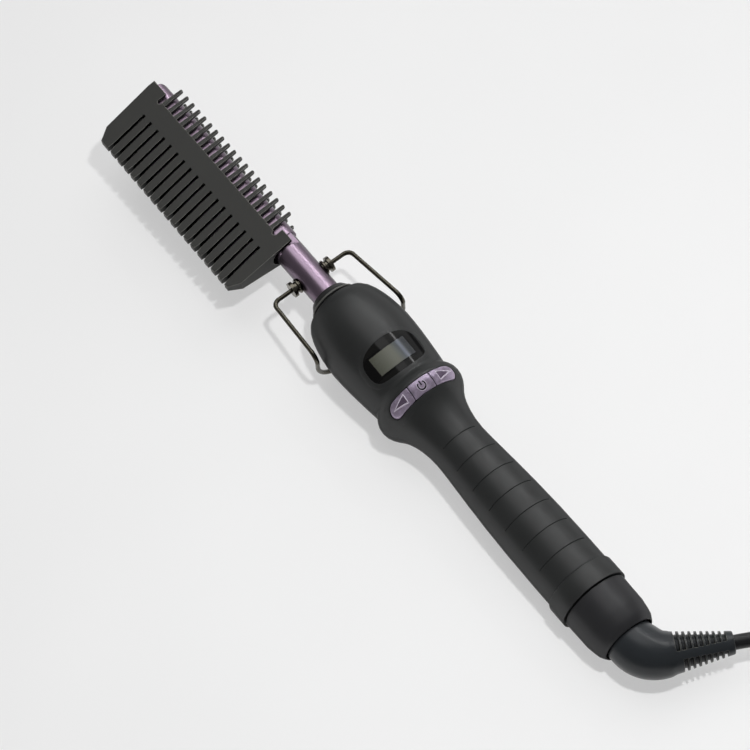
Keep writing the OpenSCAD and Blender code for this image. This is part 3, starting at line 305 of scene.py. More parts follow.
def finish_of(
    name, colour, rough, grain=0.35, bump=0.02, tone=0.12, smudge=18.0, metal=0.0, specular=0.5,
    edge=None, edge_size=0.25, edge_glint=0.0, stretch=None, coat=0.0, coat_rough=0.1, recess=0.0,
    graze=0.0, outline_shade=0.0,
):
    """A surface with fine grain, slow changes of tone and gloss, and rounded edges with a painted
    highlight.

    Sizes are in millimetres. `rough` is the roughness range, `bump` the height of the grain,
    `tone` how much the colour varies, `edge` the colour of the painted highlight on the edges and
    `edge_glint` its strength, `recess` the width of the slots and gaps that get painted shade,
    `graze` the share of the gloss left at the outline, and `outline_shade` how much painted shade
    darkens the colour there."""
    n = Nodes(name)
    base = srgb(colour)[:3]

    def tint(share):
        return tuple(min(1.0, c * share) for c in base) + (1.0,)

    slow = n.noise(smudge, 4.0)
    fine = n.noise(grain, 2.0, stretch)
    shade = n.math("ADD", n.math("MULTIPLY", slow, 0.6), n.math("MULTIPLY", fine, 0.4))
    colour_out = n.mix(n.band(shade, *GRAIN_BAND), tint(1 - tone), tint(1 + tone))
    round_edge = n.add("ShaderNodeBevel", {"Radius": edge_size * MM}, samples=6).outputs[0]
    # Painted highlight: the rounded edges are mixed toward the lighter edge colour
    if edge:
        flat = n.add("ShaderNodeNewGeometry").outputs["Normal"]
        turn = n.add("ShaderNodeVectorMath", {0: round_edge, 1: flat}, operation="DOT_PRODUCT")
        rim = n.band(turn.outputs["Value"], *GLINT_TURN, edge_glint, 0.0)
        colour_out = n.mix(rim, colour_out, srgb(edge))
    # Painted shade: where little open space lies round a spot, in slots and gaps, the colour is
    # darkened
    if recess:
        open_share = n.add("ShaderNodeAmbientOcclusion", {"Distance": recess * MM}, samples=8)
        recess_shade = n.band(open_share.outputs["AO"], *OPEN, RECESS_SHARE, 0.0)
        colour_out = n.mix(recess_shade, colour_out, tint(RECESS_SHADE_TONE))
    if outline_shade or graze:
        facing = n.add("ShaderNodeLayerWeight", {"Blend": 0.5}).outputs["Facing"]
    # Painted shade: the colour darkens toward the outline
    if outline_shade:
        colour_out = n.mix(n.band(facing, *OUTLINE_SHADE_BAND, 0.0, outline_shade), colour_out, tint(OUTLINE_SHADE_TONE))
    n.link(colour_out, "Base Color")
    n.link(n.band(shade, *GRAIN_BAND, *rough), "Roughness")
    relief = n.add("ShaderNodeBump", {
        "Height": fine, "Strength": 1.0, "Distance": bump * MM, "Normal": round_edge,
    })
    n.link(relief.outputs[0], "Normal")
    s = n.shader.inputs
    s["Metallic"].default_value = metal
    s["Specular IOR Level"].default_value = specular
    if graze:
        n.link(n.band(facing, *GRAZE_BAND, specular, specular * graze), "Specular IOR Level")
    if recess and not metal:
        n.link(n.less(recess_shade, specular), "Specular IOR Level")
    s["Coat Weight"].default_value = coat
    s["Coat Roughness"].default_value = coat_rough
    return n


# In the finishes below, `edge` is the colour of a painted highlight on rounded edges, and `recess`
# the reach of painted shade in slots and gaps
SOFT_BLACK = dict(rough=(0.4, 0.48), grain=0.25, bump=0.006, tone=0.08, smudge=26.0)

handle_black = finish_of(
    "handle_soft_touch", (38, 39, 39), specular=0.5, graze=0.1, **SOFT_BLACK
)
cap_black = finish_of("tail_soft_touch", (39, 39, 41), specular=0.42, graze=0.1, **SOFT_BLACK)
guard_black = finish_of(
    "guard_plastic", (52, 52, 50), (0.46, 0.54), grain=0.3, bump=0.008, tone=0.06, smudge=20.0,
    specular=0.34, edge=(150, 149, 143), edge_glint=0.6, recess=2.2, edge_size=0.5,
)


# The guard's slots, as in the part's source
SLOT_FIRST_X, SLOT_PITCH, SLOT_COUNT = -118.6, 4.664, 18
SLOT_TOP_Y, SLOT_LEAN = -8.85, 5.4
SLOT_HALF, SLOT_FLARE, SLOT_FLARE_Y, SLOT_LOW_Y = 0.65, 0.15, -25.0, -28.2
# Painted shade: the inside of the guard's slots is drawn black
SLOT_SHADE = (0.0015, 0.0015, 0.0015, 1)


def paint_slot_shade(n):
    """Painted shade: black inside the guard's slots, a little past their edges."""
    x, y, _ = n.tool_axes()
    shift = n.math("MULTIPLY", n.math("SUBTRACT", SLOT_TOP_Y, y), math.tan(math.radians(SLOT_LEAN)))
    place_x = n.math("SUBTRACT", n.math("SUBTRACT", x, shift), SLOT_FIRST_X)
    nearest = n.math("ROUND", n.math("DIVIDE", place_x, SLOT_PITCH))
    middle = n.math("MULTIPLY", nearest, SLOT_PITCH)
    off = n.math("ABSOLUTE", n.math("SUBTRACT", place_x, middle))
    width = n.band(y, SLOT_LOW_Y, SLOT_FLARE_Y, SLOT_HALF + SLOT_FLARE, SLOT_HALF)
    slot = n.math("LESS_THAN", off, width)
    slot = n.math("MULTIPLY", slot, n.math("LESS_THAN", y, SLOT_TOP_Y))
    slot = n.math("MULTIPLY", slot, n.inside(nearest, -0.5, SLOT_COUNT - 0.5, 0.1))
    colour, gloss = (
        n.shader.inputs[name].links[0].from_socket for name in ("Base Color", "Specular IOR Level")
    )
    n.link(n.mix(slot, colour, SLOT_SHADE), "Base Color")
    n.link(n.less(slot, gloss), "Specular IOR Level")


paint_slot_shade(guard_black)
purple_metal = finish_of(
    "purple_metal", (160, 141, 160), (0.32, 0.37), grain=0.12, bump=0.0006, tone=0.08, metal=1.0,
    edge=(205, 196, 210), edge_glint=0.4, stretch=(0.12, 1.0, 1.0), edge_size=0.3, coat=0.2,
    coat_rough=0.2, recess=1.0, outline_shade=0.9,
)
button_purple = finish_of(
    "button_plastic", (168, 154, 176), (0.28, 0.38), grain=0.3, bump=0.014, tone=0.26, smudge=2.0,
    metal=0.6, edge=(196, 186, 204), edge_glint=0.7, edge_size=0.16,
)
sign_dark = finish_of("sign_dark", (34, 28, 38), (0.4, 0.5), grain=0.15, bump=0.002, metal=0.3)
sign_black = finish_of("sign_black", (16, 15, 17), (0.6, 0.7), grain=0.3, bump=0.002, specular=0.1)
# Darker fill inside the arrows: painted shade of a recessed sign
sign_shade = finish_of("sign_shade", (112, 98, 118), (0.36, 0.46), grain=0.15, bump=0.004, metal=0.6)
# Pale strokes along the signs' edges: a painted highlight
sign_highlight = finish_of("sign_highlight", (206, 196, 212), (0.3, 0.4), grain=0.15, bump=0.002, metal=0.2)
stand_steel = finish_of(
    "stand_steel", (84, 81, 72), (0.2, 0.3), grain=0.2, bump=0.002, tone=0.15, metal=1.0,
    edge_size=0.1, stretch=(1.0, 1.0, 0.3),
)
bush_steel = finish_of(
    "bush_steel", (112, 108, 98), (0.2, 0.3), grain=0.2, bump=0.002, tone=0.15, metal=1.0,
    edge_size=0.15, recess=0.6,
)
bright_steel = finish_of(
    "bright_steel", (176, 174, 168), (0.2, 0.34), grain=0.2, bump=0.003, tone=0.1, metal=1.0,
    edge_size=0.15,
)
brass = finish_of(
    "plug_brass", (196, 168, 96), (0.18, 0.3), grain=0.3, bump=0.002, tone=0.1, metal=1.0,
    edge_size=0.2, stretch=(1.0, 0.1, 1.0),
)
copper = finish_of("contact_copper", (184, 116, 74), (0.25, 0.4), metal=1.0, tone=0.15)
relief_black = finish_of(
    "relief_rubber", (38, 41, 44), (0.28, 0.36), grain=0.5, bump=0.006, tone=0.1, specular=0.4,
    edge_size=0.3, edge=(130, 128, 118), edge_glint=0.6, recess=3.4,
)
cord_black = finish_of(
    "cord_rubber", (24, 24, 26), (0.34, 0.46), grain=0.6, bump=0.01, tone=0.15, smudge=12.0,
    specular=0.4,
)
plug_black = finish_of(
    "plug_plastic", (30, 30, 32), (0.4, 0.52), grain=0.5, bump=0.012, tone=0.1, edge=(70, 70, 72),
    edge_glint=0.3, edge_size=0.5, specular=0.4,
)
collar_black = finish_of(
    "collar_plastic", (36, 36, 36), (0.4, 0.5), bump=0.006, edge_size=0.25, specular=0.35,
    edge=(120, 120, 114), edge_glint=0.6,
)
# Grey of the collar's lip: a painted highlight along its ridge
lip_highlight = finish_of("collar_lip", (84, 84, 80), (0.34, 0.44), bump=0.004, edge_size=0.1)
swivel_black = finish_of("swivel_plastic", (30, 30, 31), (0.4, 0.5))
tie_black = finish_of(
    "tie_strap", (32, 32, 34), (0.7, 0.85), grain=0.5, bump=0.06, tone=0.25, specular=0.3,
)
ceramic = finish_of("ceramic", (224, 218, 204), (0.5, 0.62), grain=0.4, bump=0.01, tone=0.05)
mica = finish_of("mica", (196, 182, 140), (0.35, 0.5), grain=0.8, bump=0.004, tone=0.12)
white_glass = finish_of("white_insulation", (226, 224, 216), (0.6, 0.75), grain=0.5, bump=0.03)
sensor_glass = finish_of("sensor_glass", (176, 84, 44), (0.12, 0.2), bump=0.002, coat=0.4)
board_green = finish_of("board", (24, 84, 50), (0.34, 0.46), grain=0.6, bump=0.008, tone=0.14)
chip_black = finish_of("components", (44, 44, 46), (0.4, 0.6), grain=0.3, bump=0.01)
brown_lead = finish_of("lead_insulation", (96, 62, 40), (0.45, 0.6), grain=0.8, bump=0.01)
display_grey = finish_of("display", (84, 86, 78), (0.3, 0.4), grain=0.2, bump=0.001, tone=0.05)


# The display's face behind the lens, in the tool's frame. Its ends bend toward the comb.
FACE_X, FACE_Y, FACE_BEND = (33.9, 42.2), (-8.5, 7.6), 0.008
BORDER_X = (33.0, 43.1)
BORDER_TONE, BEYOND_TONE = (12, 12, 12), (20, 20, 19)
# The face is painted with light: from its own grey at the low end it grows lighter toward the
# middle as if lit, turns to a bluish painted reflection with a brighter painted sheen in it, and is
# darker at the top
LOW_TONE, MIDDLE_Y, LIT_TONE = (74, 75, 66), (-8.5, -0.5), (102, 103, 95)
REFLECTED_Y, REFLECTED_TONE = (0.5, 3.2), (82, 86, 90)
SHEEN_Y, SHEEN_TONE = (3.7, 5.0), (104, 109, 120)
TOP_Y, TOP_TONE = (5.0, 6.0), (58, 60, 64)
SPECK_SHARE, SPECK_TONE = 0.25, (96, 98, 94)


def lens_finish():
    """Near-black gloss with the grey face of the display, with painted light and a painted
    reflection on it, showing inside its printed border.
    """
    n = Nodes("lens")
    x, y, _ = n.tool_axes()
    level = n.math("ADD", x, n.math("MULTIPLY", n.math("MULTIPLY", y, y), FACE_BEND))
    face = n.math("MULTIPLY", n.inside(level, *FACE_X, 0.25), n.inside(y, *FACE_Y, 0.3))
    glow = n.mix(n.band(y, *MIDDLE_Y), srgb(LOW_TONE), srgb(LIT_TONE))
    glow = n.mix(n.band(y, *REFLECTED_Y), glow, srgb(REFLECTED_TONE))
    glow = n.mix(n.inside(y, *SHEEN_Y, 0.9), glow, srgb(SHEEN_TONE))
    glow = n.mix(n.band(y, *TOP_Y), glow, srgb(TOP_TONE))
    speck = n.band(n.noise(0.6, 2.0), 0.3, 0.7, 0.0, SPECK_SHARE)
    glow = n.mix(speck, glow, srgb(SPECK_TONE))
    border = n.mix(n.inside(level, *BORDER_X, 0.6), srgb(BEYOND_TONE), srgb(BORDER_TONE))
    n.link(n.mix(face, border, glow), "Base Color")
    gloss = n.band(n.noise(4.0, 3.0), *GRAIN_BAND, 0.08, 0.12)
    n.link(n.math("ADD", gloss, n.math("MULTIPLY", face, 0.14)), "Roughness")
    n.link(n.band(face, 0.0, 1.0, 0.2, 0.08), "Specular IOR Level")
    return n


lens_black = lens_finish()

FINISHES = (
    (guard_black, ("comb_guard",)),
    (purple_metal, ("comb_head", "neck_tube")),
    (ceramic, ("heater_element", "barrel_mount", "brush_carrier")),
    (mica, ("mica_sheets",)),
    (white_glass, ("heater_leads",)),
    (sensor_glass, ("thermistor",)),
    (bright_steel, ("thermal_fuse", "barrel_clip", "tact_switches", "board_screws", "shell_screws",
                    "swivel_retainer")),
    (bush_steel, ("stand_bushes",)),
    (stand_steel, ("stand_wire",)),
    (collar_black, ("front_collar",)),
    (handle_black, ("handle_upper_shell", "handle_lower_shell", "end_band")),
    (lens_black, ("display_lens",)),
    (display_grey, ("lcd_module",)),
    (board_green, ("circuit_board",)),
    (chip_black, ("board_components",)),
    (button_purple, ("button_power", "button_up", "button_down")),
    (cap_black, ("tail_cap",)),
    (copper, ("contact_brushes", "contact_rings")),
    (brown_lead, ("supply_leads",)),
    (swivel_black, ("swivel_shank",)),
    (relief_black, ("strain_relief",)),
    (cord_black, ("cord_tube", "cord_coil")),
    (tie_black, ("cord_tie",)),
    (plug_black, ("plug_body",)),
    (brass, ("plug_blades",)),
)
for finish, names in FINISHES:
    for name in names:
        mesh = nodes[name].data
        mesh.materials.clear()
        mesh.materials.append(finish.material)
cord.data.materials.append(cord_black.material)


# ---- smooth shading of the CAD nodes ----
SAME_PLACE = 1e-6  # metres between points that are joined


def smoother(angle):
    """Node group that joins a CAD mesh's split faces and shades it smooth below an angle."""
    group = bpy.data.node_groups.new("smooth_shading", "GeometryNodeTree")
    group.interface.new_socket("Geometry", in_out="INPUT", socket_type="NodeSocketGeometry")
    group.interface.new_socket("Geometry", in_out="OUTPUT", socket_type="NodeSocketGeometry")
    new, link = group.nodes.new, group.links.new
    start, end = new("NodeGroupInput"), new("NodeGroupOutput")
    weld = new("GeometryNodeMergeByDistance")
    weld.inputs["Distance"].default_value = SAME_PLACE
    plain = new("GeometryNodeRemoveAttribute")
    plain.inputs["Name"].default_value = "custom_normal"
    faces = new("GeometryNodeSetShadeSmooth")
    faces.domain = "FACE"
    edges = new("GeometryNodeSetShadeSmooth")
    edges.domain = "EDGE"
    turn = new("GeometryNodeInputMeshEdgeAngle")
    blunt = new("FunctionNodeCompare")
    blunt.operation = "LESS_EQUAL"
    blunt.inputs[1].default_value = angle
    link(start.outputs[0], weld.inputs["Geometry"])
    link(weld.outputs[0], plain.inputs["Geometry"])
    link(plain.outputs[0], faces.inputs["Geometry"])
    link(faces.outputs[0], edges.inputs["Geometry"])
    link(turn.outputs["Unsigned Angle"], blunt.inputs[0])
    link(blunt.outputs[0], edges.inputs["Shade Smooth"])
    link(edges.outputs[0], end.inputs[0])
    return group


SMOOTH = smoother(math.radians(24))
WIRE_SWELL = 0.14  # the drawn wire is that much thicker all round than its solid
for name in ("handle_upper_shell", "handle_lower_shell", "end_band", "tail_cap", "front_collar",
             "plug_body", "neck_tube", "comb_head", "stand_bushes", "swivel_shank", "stand_wire"):
    nodes[name].modifiers.new("smooth", "NODES").node_group = SMOOTH
gauge = nodes["stand_wire"].modifiers.new("gauge", "DISPLACE")
gauge.strength, gauge.mid_level = WIRE_SWELL * MM, 0.0


# ---- pieces made here ----
def mesh_object(name, verts, faces, finish, smooth_angle=30):
    """A mesh from points in metres, shaded smooth below an angle in degrees."""
    mesh = bpy.data.meshes.new(name)
    mesh.from_pydata([tuple(v) for v in verts], [], faces)
    mesh.validate()
    bm = bmesh.new()
    bm.from_mesh(mesh)
    bmesh.ops.recalc_face_normals(bm, faces=bm.faces)
    for face in bm.faces:
        face.smooth = True
    for edge in bm.edges:
        edge.smooth = edge.calc_face_angle(math.pi) < math.radians(smooth_angle)
    bm.to_mesh(mesh)
    bm.free()
    mesh.materials.append(finish.material)
    thing = bpy.data.objects.new(name, mesh)
    bpy.context.scene.collection.objects.link(thing)
    return thing


# Outline of the handle near the display and the buttons, as in the part's source: x and radius of
# the knots of its Bezier curves
SWELL = (
    ((21.3, 18.8), (28.9, 18.8), (39.9, 17.6), (46.9, 16.8)),
    ((46.9, 16.8), (48.4, 16.9), (49.4, 18.9), (52.8, 18.9)),
    ((52.8, 18.9), (56.2, 18.9), (58.4, 16.6), (60.2, 15.4)),
)
HALVINGS = 24


def handle_r(x):
    """Radius of the handle at x, on the smooth curve that its outline follows."""
    curve = next((c for c in SWELL if x <= c[3][0]), SWELL[-1])
    low, high = 0.0, 1.0

    def at(t, axis):
        shares = ((1 - t) ** 3, 3 * (1 - t) ** 2 * t, 3 * (1 - t) * t * t, t**3)
        return sum(share * knot[axis] for share, knot in zip(shares, curve))

    for _ in range(HALVINGS):
        mid = (low + high) / 2
        low, high = (mid, high) if at(mid, 0) < x else (low, mid)
    return at(low, 1)


def on_handle(x, y, lift):
    """Place on the handle's upper side, that many millimetres above its surface."""
    radius = handle_r(x) + lift
    return place(x, y, math.sqrt(radius * radius - y * y))


# Cross-section of a stroke: share of its half width, and how far below its top
STROKE = ((-1, 0.15), (-1, 0.03), (-0.6, 0.0), (0.6, 0.0), (1, 0.03), (1, 0.15))
SHARPEST = 0.35  # keeps the outside of a stroke's corners from running far out


def ribbon(name, lines, width, lift, finish, body):
    """Flat raised strokes on the handle: each line is a list of (x, y) places, closed or open."""
    verts, faces = [], []
    sides = len(STROKE)
    for line, closed in lines:
        count = len(line)
        first = len(verts)
        for i, (x, y) in enumerate(line):
            before = Vector(line[i - 1]) if closed or i else Vector(line[0])
            after = Vector(line[(i + 1) % count]) if closed or i < count - 1 else Vector(line[-1])
            here = Vector((x, y))
            a, b = (here - before).normalized(), (after - here).normalized()
            a, b = (a if a.length else b), (b if b.length else a)
            mean = (a + b).normalized()
            side = Vector((-mean.y, mean.x)) / max(SHARPEST, math.sqrt((1 + a.dot(b)) / 2))
            for share, drop in STROKE:
                p = here + side * share * width / 2
                verts.append(on_handle(p.x, p.y, lift - drop))
        for i in range(count if closed else count - 1):
            here, there = first + sides * i, first + sides * ((i + 1) % count)
            for k in range(sides):
                m = (k + 1) % sides
                faces.append([here + k, here + m, there + m, there + k])
        if not closed:
            last = first + sides * (count - 1)
            faces.append(list(range(first, first + sides)))
            faces.append(list(range(last + sides - 1, last - 1, -1)))
    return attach(mesh_object(name, verts, faces, finish), body)


def dense(points, step=0.25, closed=True):
    """The same line with points at most a step apart."""
    out = []
    count = len(points)
    for i in range(count if closed else count - 1):
        a, b = Vector(points[i]), Vector(points[(i + 1) % count])
        parts = max(1, math.ceil((b - a).length / step))
        out += [tuple(a.lerp(b, k / parts)) for k in range(parts)]
    if not closed:
        out.append(points[-1])
    return out


def rounded(points, radii, steps=8):
    """A closed line through corners given counterclockwise, each rounded by its radius."""
    out = []
    for i, radius in enumerate(radii):
        here = Vector(points[i])
        a = (Vector(points[i - 1]) - here).normalized()
        b = (Vector(points[(i + 1) % len(points)]) - here).normalized()
        half = math.acos(max(-1, min(1, a.dot(b)))) / 2
        middle = here + (a + b).normalized() * radius / math.sin(half)
        start = here + a * radius / math.tan(half) - middle
        turn = math.pi - 2 * half
        for k in range(steps + 1):
            out.append(tuple(middle + Matrix.Rotation(turn * k / steps, 2) @ start))
    return out


def smooth_line(knots, steps=6):
    """A closed curve through points."""
    out = []
    count = len(knots)
    for i in range(count):
        a, b, c, d = (Vector(knots[(i + k) % count]) for k in (-1, 0, 1, 2))
        for k in range(steps):
            t = k / steps
            out.append(tuple(0.5 * (
                2 * b + (c - a) * t + (2 * a - 5 * b + 4 * c - d) * t * t
                + (3 * b - a - 3 * c + d) * t**3
            )))
    return out


def inward(line):
    """Unit steps toward the inside of a closed counterclockwise line, at each of its points."""
    out = []
    for i in range(len(line)):
        way = (Vector(line[(i + 1) % len(line)]) - Vector(line[i - 1])).normalized()
        out.append(Vector((-way.y, way.x)))
    return out


def shrunk(loop, height, shares):
    """Copies of a line, drawn in toward its middle by each share."""
    middle = sum(loop, Vector((0, 0))) / len(loop)
    return [([q.lerp(middle, k) for q in loop], height) for k in shares]


SUNK = -0.4  # level of the hidden edges of what lies on the handle
INMOST = 0.99  # how far toward the middle the last ring of a filled skin lies


def patch(name, line, rim, finish, body, filled=True, rings=14):
    """A thin skin on the handle inside a closed line, or a lip along the line.

    `rim` lists how far in from the line, negative for outward, and how high."""
    steps = inward(line)
    count = len(line)
    if not filled:
        rim = rim + [(rim[-1][0], SUNK), (rim[0][0], SUNK)]
    loops = [([Vector(p) + inset * way for p, way in zip(line, steps)], height)
             for inset, height in rim]
    if filled:
        shares = [k / rings for k in range(1, rings)] + [INMOST]
        loops = shrunk(*loops[0], shares)[::-1] + loops + shrunk(*loops[-1], shares)
    verts = [on_handle(q.x, q.y, height) for loop, height in loops for q in loop]
    faces = []
    total = len(loops)
    for k in range(total - 1 if filled else total):
        here, there = k * count, (k + 1) % total * count
        for i in range(count):
            j = (i + 1) % count
            faces.append([here + i, here + j, there + j, there + i])
    if filled:
        faces.append(list(range(count - 1, -1, -1)))
        faces.append(list(range((total - 1) * count, total * count)))
    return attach(mesh_object(name, verts, faces, finish, smooth_angle=50), body)


# Display lens with a smooth outline, in a low lip of the handle's own plastic
half_line = [(29.75, 4.0), (30.6, 7.9), (32.0, 10.3), (34.3, 11.75), (37.5, 12.2), (40.6, 11.9),
             (42.8, 10.8), (44.2, 8.7), (44.95, 5.0)]
lens_line = smooth_line(
    [(29.5, 0.0)] + [(x, -y) for x, y in half_line] + [(45.25, 0.0)] + half_line[::-1]
)
LENS_RIM = [(-0.5, SUNK), (-0.5, 0.04), (0.3, 0.05)]
lens = patch("lens_glass", lens_line, LENS_RIM, lens_black, "root", rings=24)
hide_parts("display_lens")
LIP = [(0.05, 0.03), (0.0, 0.07), (-0.1, 0.09), (-0.5, 0.09), (-1.0, 0.07), (-1.5, 0.03),
       (-1.9, -0.06)]
patch("window_lip", lens_line, LIP, handle_black, "root", filled=False)

# Button caps in a row with round ends, the bed under them and the lip round them
CAP_MID, CAP_HALF, CAP_END, CAP_SPLIT = 55.45, 2.75, 14.6, 4.95
CAP_GAP, CAP_CORNER, CAP_PROUD = 0.16, 0.3, 0.34
CAP_RIM = [(0.0, SUNK), (0.0, CAP_PROUD - 0.16), (0.07, CAP_PROUD - 0.07), (0.18, CAP_PROUD)]
END_R = CAP_HALF - 0.05
ROW_GAP = 0.3  # from the row to the crest of its lip
BED_RIM = [(-0.5, -0.3), (0.5, -0.25)]


def cap_line(from_y, to_y, low_r, high_r):
    """Outline of a cap between two places on the row, with a radius for the corners of each."""
    low_x, high_x = CAP_MID - CAP_HALF, CAP_MID + CAP_HALF
    corners = [(low_x, from_y), (high_x, from_y), (high_x, to_y), (low_x, to_y)]
    return dense(rounded(corners, (low_r, low_r, high_r, high_r)), step=0.4)


CAP_LINES = {
    "power": cap_line(CAP_GAP - CAP_SPLIT, CAP_SPLIT - CAP_GAP, CAP_CORNER, CAP_CORNER),
    "up": cap_line(CAP_SPLIT + CAP_GAP, CAP_END, CAP_CORNER, END_R),
    "down": cap_line(-CAP_END, -CAP_SPLIT - CAP_GAP, END_R, CAP_CORNER),
}
for key, line in CAP_LINES.items():
    cap = patch(key + "_cap", line, CAP_RIM, button_purple, key + "_key", rings=16)
    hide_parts("button_" + key)
row = cap_line(-CAP_END, CAP_END, END_R, END_R)
row_lip = [(inset - ROW_GAP, height) for inset, height in LIP]
patch("row_lip", row, row_lip, handle_black, "root", filled=False)
patch("row_bed", row, BED_RIM, sign_black, "root", rings=10)


# Power sign: a ring with a gap toward the comb and a bar in the gap, dark, with a painted highlight
# along its edges
RING_X, RING_R, RING_GAP = CAP_MID + 0.1, 1.5, 42
RIM_OUT_R, RIM_OUT_GAP, RIM_IN_R, RIM_IN_GAP = 1.95, 34, 1.12, 60


def open_ring(radius, gap, steps=28):
    """An open line round the sign's centre, `gap` degrees short on each side of the comb's way."""
    angles = [math.radians(gap + (360 - 2 * gap) * i / steps) for i in range(steps + 1)]
    return [(RING_X - radius * math.cos(a), radius * math.sin(a)) for a in angles], False


bar = dense([(RING_X - RIM_OUT_R, 0), (RING_X, 0)], closed=False), False
sign = [open_ring(RING_R, RING_GAP), bar]
rims = [open_ring(RIM_OUT_R, RIM_OUT_GAP), open_ring(RIM_IN_R, RIM_IN_GAP)]
ribbon("power_sign", sign, 0.6, CAP_PROUD + 0.03, sign_dark, "power_key")
ribbon("power_sign_rim", rims, 0.2, CAP_PROUD + 0.05, sign_highlight, "power_key")

# Arrows: on each end cap a triangle darkened inside by painted shade, with a painted highlight
# along its edge
ARROW_TIP, ARROW_BASE, ARROW_HALF = 13.2, 7.7, 1.7
ARROW_RIM = [(0.1, CAP_PROUD - 0.1), (0.1, CAP_PROUD + 0.02), (0.3, CAP_PROUD + 0.02)]
for key, side in (("up", 1), ("down", -1)):
    corners = [(CAP_MID - ARROW_HALF, side * ARROW_BASE), (CAP_MID, side * ARROW_TIP),
               (CAP_MID + ARROW_HALF, side * ARROW_BASE)]
    line = dense(corners[::-side], step=0.2)
    patch(key + "_sign_shade", line, ARROW_RIM, sign_shade, key + "_key", rings=4)
    ribbon(key + "_sign", [(line, True)], 0.4, CAP_PROUD + 0.07, sign_highlight, key + "_key")

# Rings round the collar and the bushes: how far along their line, and the radius there
PIVOT_X = -17.8
LIP_RING = ((-3.0, 9.2), (-2.95, 9.9), (-2.75, 10.2), (-2.4, 10.34), (-2.1, 10.3), (-2.0, 9.8))
SEAM_RING = ((-1.98, 9.7), (-1.94, 10.16), (-1.3, 10.44), (-1.25, 10.2))
FLANGE_RING = ((6.05, 2.5), (6.1, 2.9), (6.25, 3.1), (6.75, 3.1), (6.95, 2.9), (7.0, 2.4))
RINGS = (
    ("collar_lip", LIP_RING, (0, 0, 0), (1, 0, 0), 96, lip_highlight),
    ("collar_seam", SEAM_RING, (0, 0, 0), (1, 0, 0), 96, sign_black),
    ("bush_flange_a", FLANGE_RING, (PIVOT_X, 0, 0), (0, 1, 0), 40, bush_steel),
    ("bush_flange_b", FLANGE_RING, (PIVOT_X, 0, 0), (0, -1, 0), 40, bush_steel),
)

# Strain relief, bent like the cord's start, with its slots cut in two rows
RELIEF_X, BEND_X, BEND_R = 171.1, 178.3, 14.0
RELIEF_R, RELIEF_BEND_R, RELIEF_SLOT_R, RELIEF_TIP_R = 9.7, 8.6, 7.9, 4.35
RELIEF_SWELL, RELIEF_BULGE = 0.1, 0.5
RELIEF_LEN, COLLAR_RUN, RELIEF_SLOTS = 24.3, 2.4, 9
TIP_ROUND = 0.5
SLOT_ROLL = 30.0  # turn of the two rows of slots about the relief
CUT_INSET, CUT_DEPTH, CUT_OUT, CUT_WIDTH, CUT_RIB = 0.3, 1.35, 1.2, 1.5, 1.4
CUT_STEPS = 20
relief_way = Vector((math.cos(math.radians(RELIEF_TURN)), math.sin(math.radians(RELIEF_TURN)), 0))
bend_end = Vector((BEND_X + BEND_R * relief_way.y, BEND_R * (1 - relief_way.x), 0))


def fractions(steps):
    """Even steps from just past 0 up to 1."""
    return [i / steps for i in range(1, steps + 1)]


def relief_rings():
    """Centre, direction and radius along the strain relief."""
    ahead = Vector((1, 0, 0))
    rings = [(Vector((RELIEF_X, 0, 0)), ahead, RELIEF_R)]
    for share in fractions(4):
        at = Vector((RELIEF_X + (BEND_X - RELIEF_X) * share, 0, 0))
        rings.append((at, ahead, RELIEF_R + RELIEF_SWELL * share))
    for share in fractions(24):
        a = math.radians(RELIEF_TURN * share)
        at = Vector((BEND_X + BEND_R * math.sin(a), BEND_R * (1 - math.cos(a)), 0))
        swell = RELIEF_SWELL + RELIEF_BULGE * math.sin(math.pi * share)
        r = RELIEF_R + swell - (RELIEF_R + RELIEF_SWELL - RELIEF_BEND_R) * share**1.5
        rings.append((at, Vector((math.cos(a), math.sin(a), 0)), r))
    straight = []
    for share in fractions(4):
        r = RELIEF_BEND_R + (RELIEF_SLOT_R - RELIEF_BEND_R) * (share + ease(share)) / 2
        straight.append((COLLAR_RUN * share, r))
    tip = RELIEF_LEN - TIP_ROUND
    for share in fractions(24):
        r = RELIEF_SLOT_R + (RELIEF_TIP_R - RELIEF_SLOT_R) * share
        straight.append((COLLAR_RUN + (tip - COLLAR_RUN) * share, r))
    for run, drop in ((0.25, 0.08), (0.4, 0.25), (TIP_ROUND, 0.5)):
        straight.append((tip + run, RELIEF_TIP_R - drop))
    return rings + [(bend_end + run * relief_way, relief_way, r) for run, r in straight]


def skin(rings, sides):
    """Points and faces of a closed skin over rings, in metres."""
    verts, faces = [], []
    for at, way, r in rings:
        side = way.cross(Vector((0, 0, 1))).normalized()
        up = side.cross(way)
        for k in range(sides):
            a = 2 * math.pi * k / sides
            verts.append(TOOL @ (at + r * (math.cos(a) * side + math.sin(a) * up)))
    for i in range(len(rings) - 1):
        for k in range(sides):
            n = (k + 1) % sides
            faces.append([i * sides + k, i * sides + n, (i + 1) * sides + n, (i + 1) * sides + k])
    faces.append(list(range(sides - 1, -1, -1)))
    faces.append(list(range((len(rings) - 1) * sides, len(rings) * sides)))
    return verts, faces


for name, profile, at, way, sides, finish in RINGS:
    rings = [(Vector(at) + run * Vector(way), Vector(way), r) for run, r in profile]
    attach(mesh_object(name, *skin(rings, sides), finish), "root")


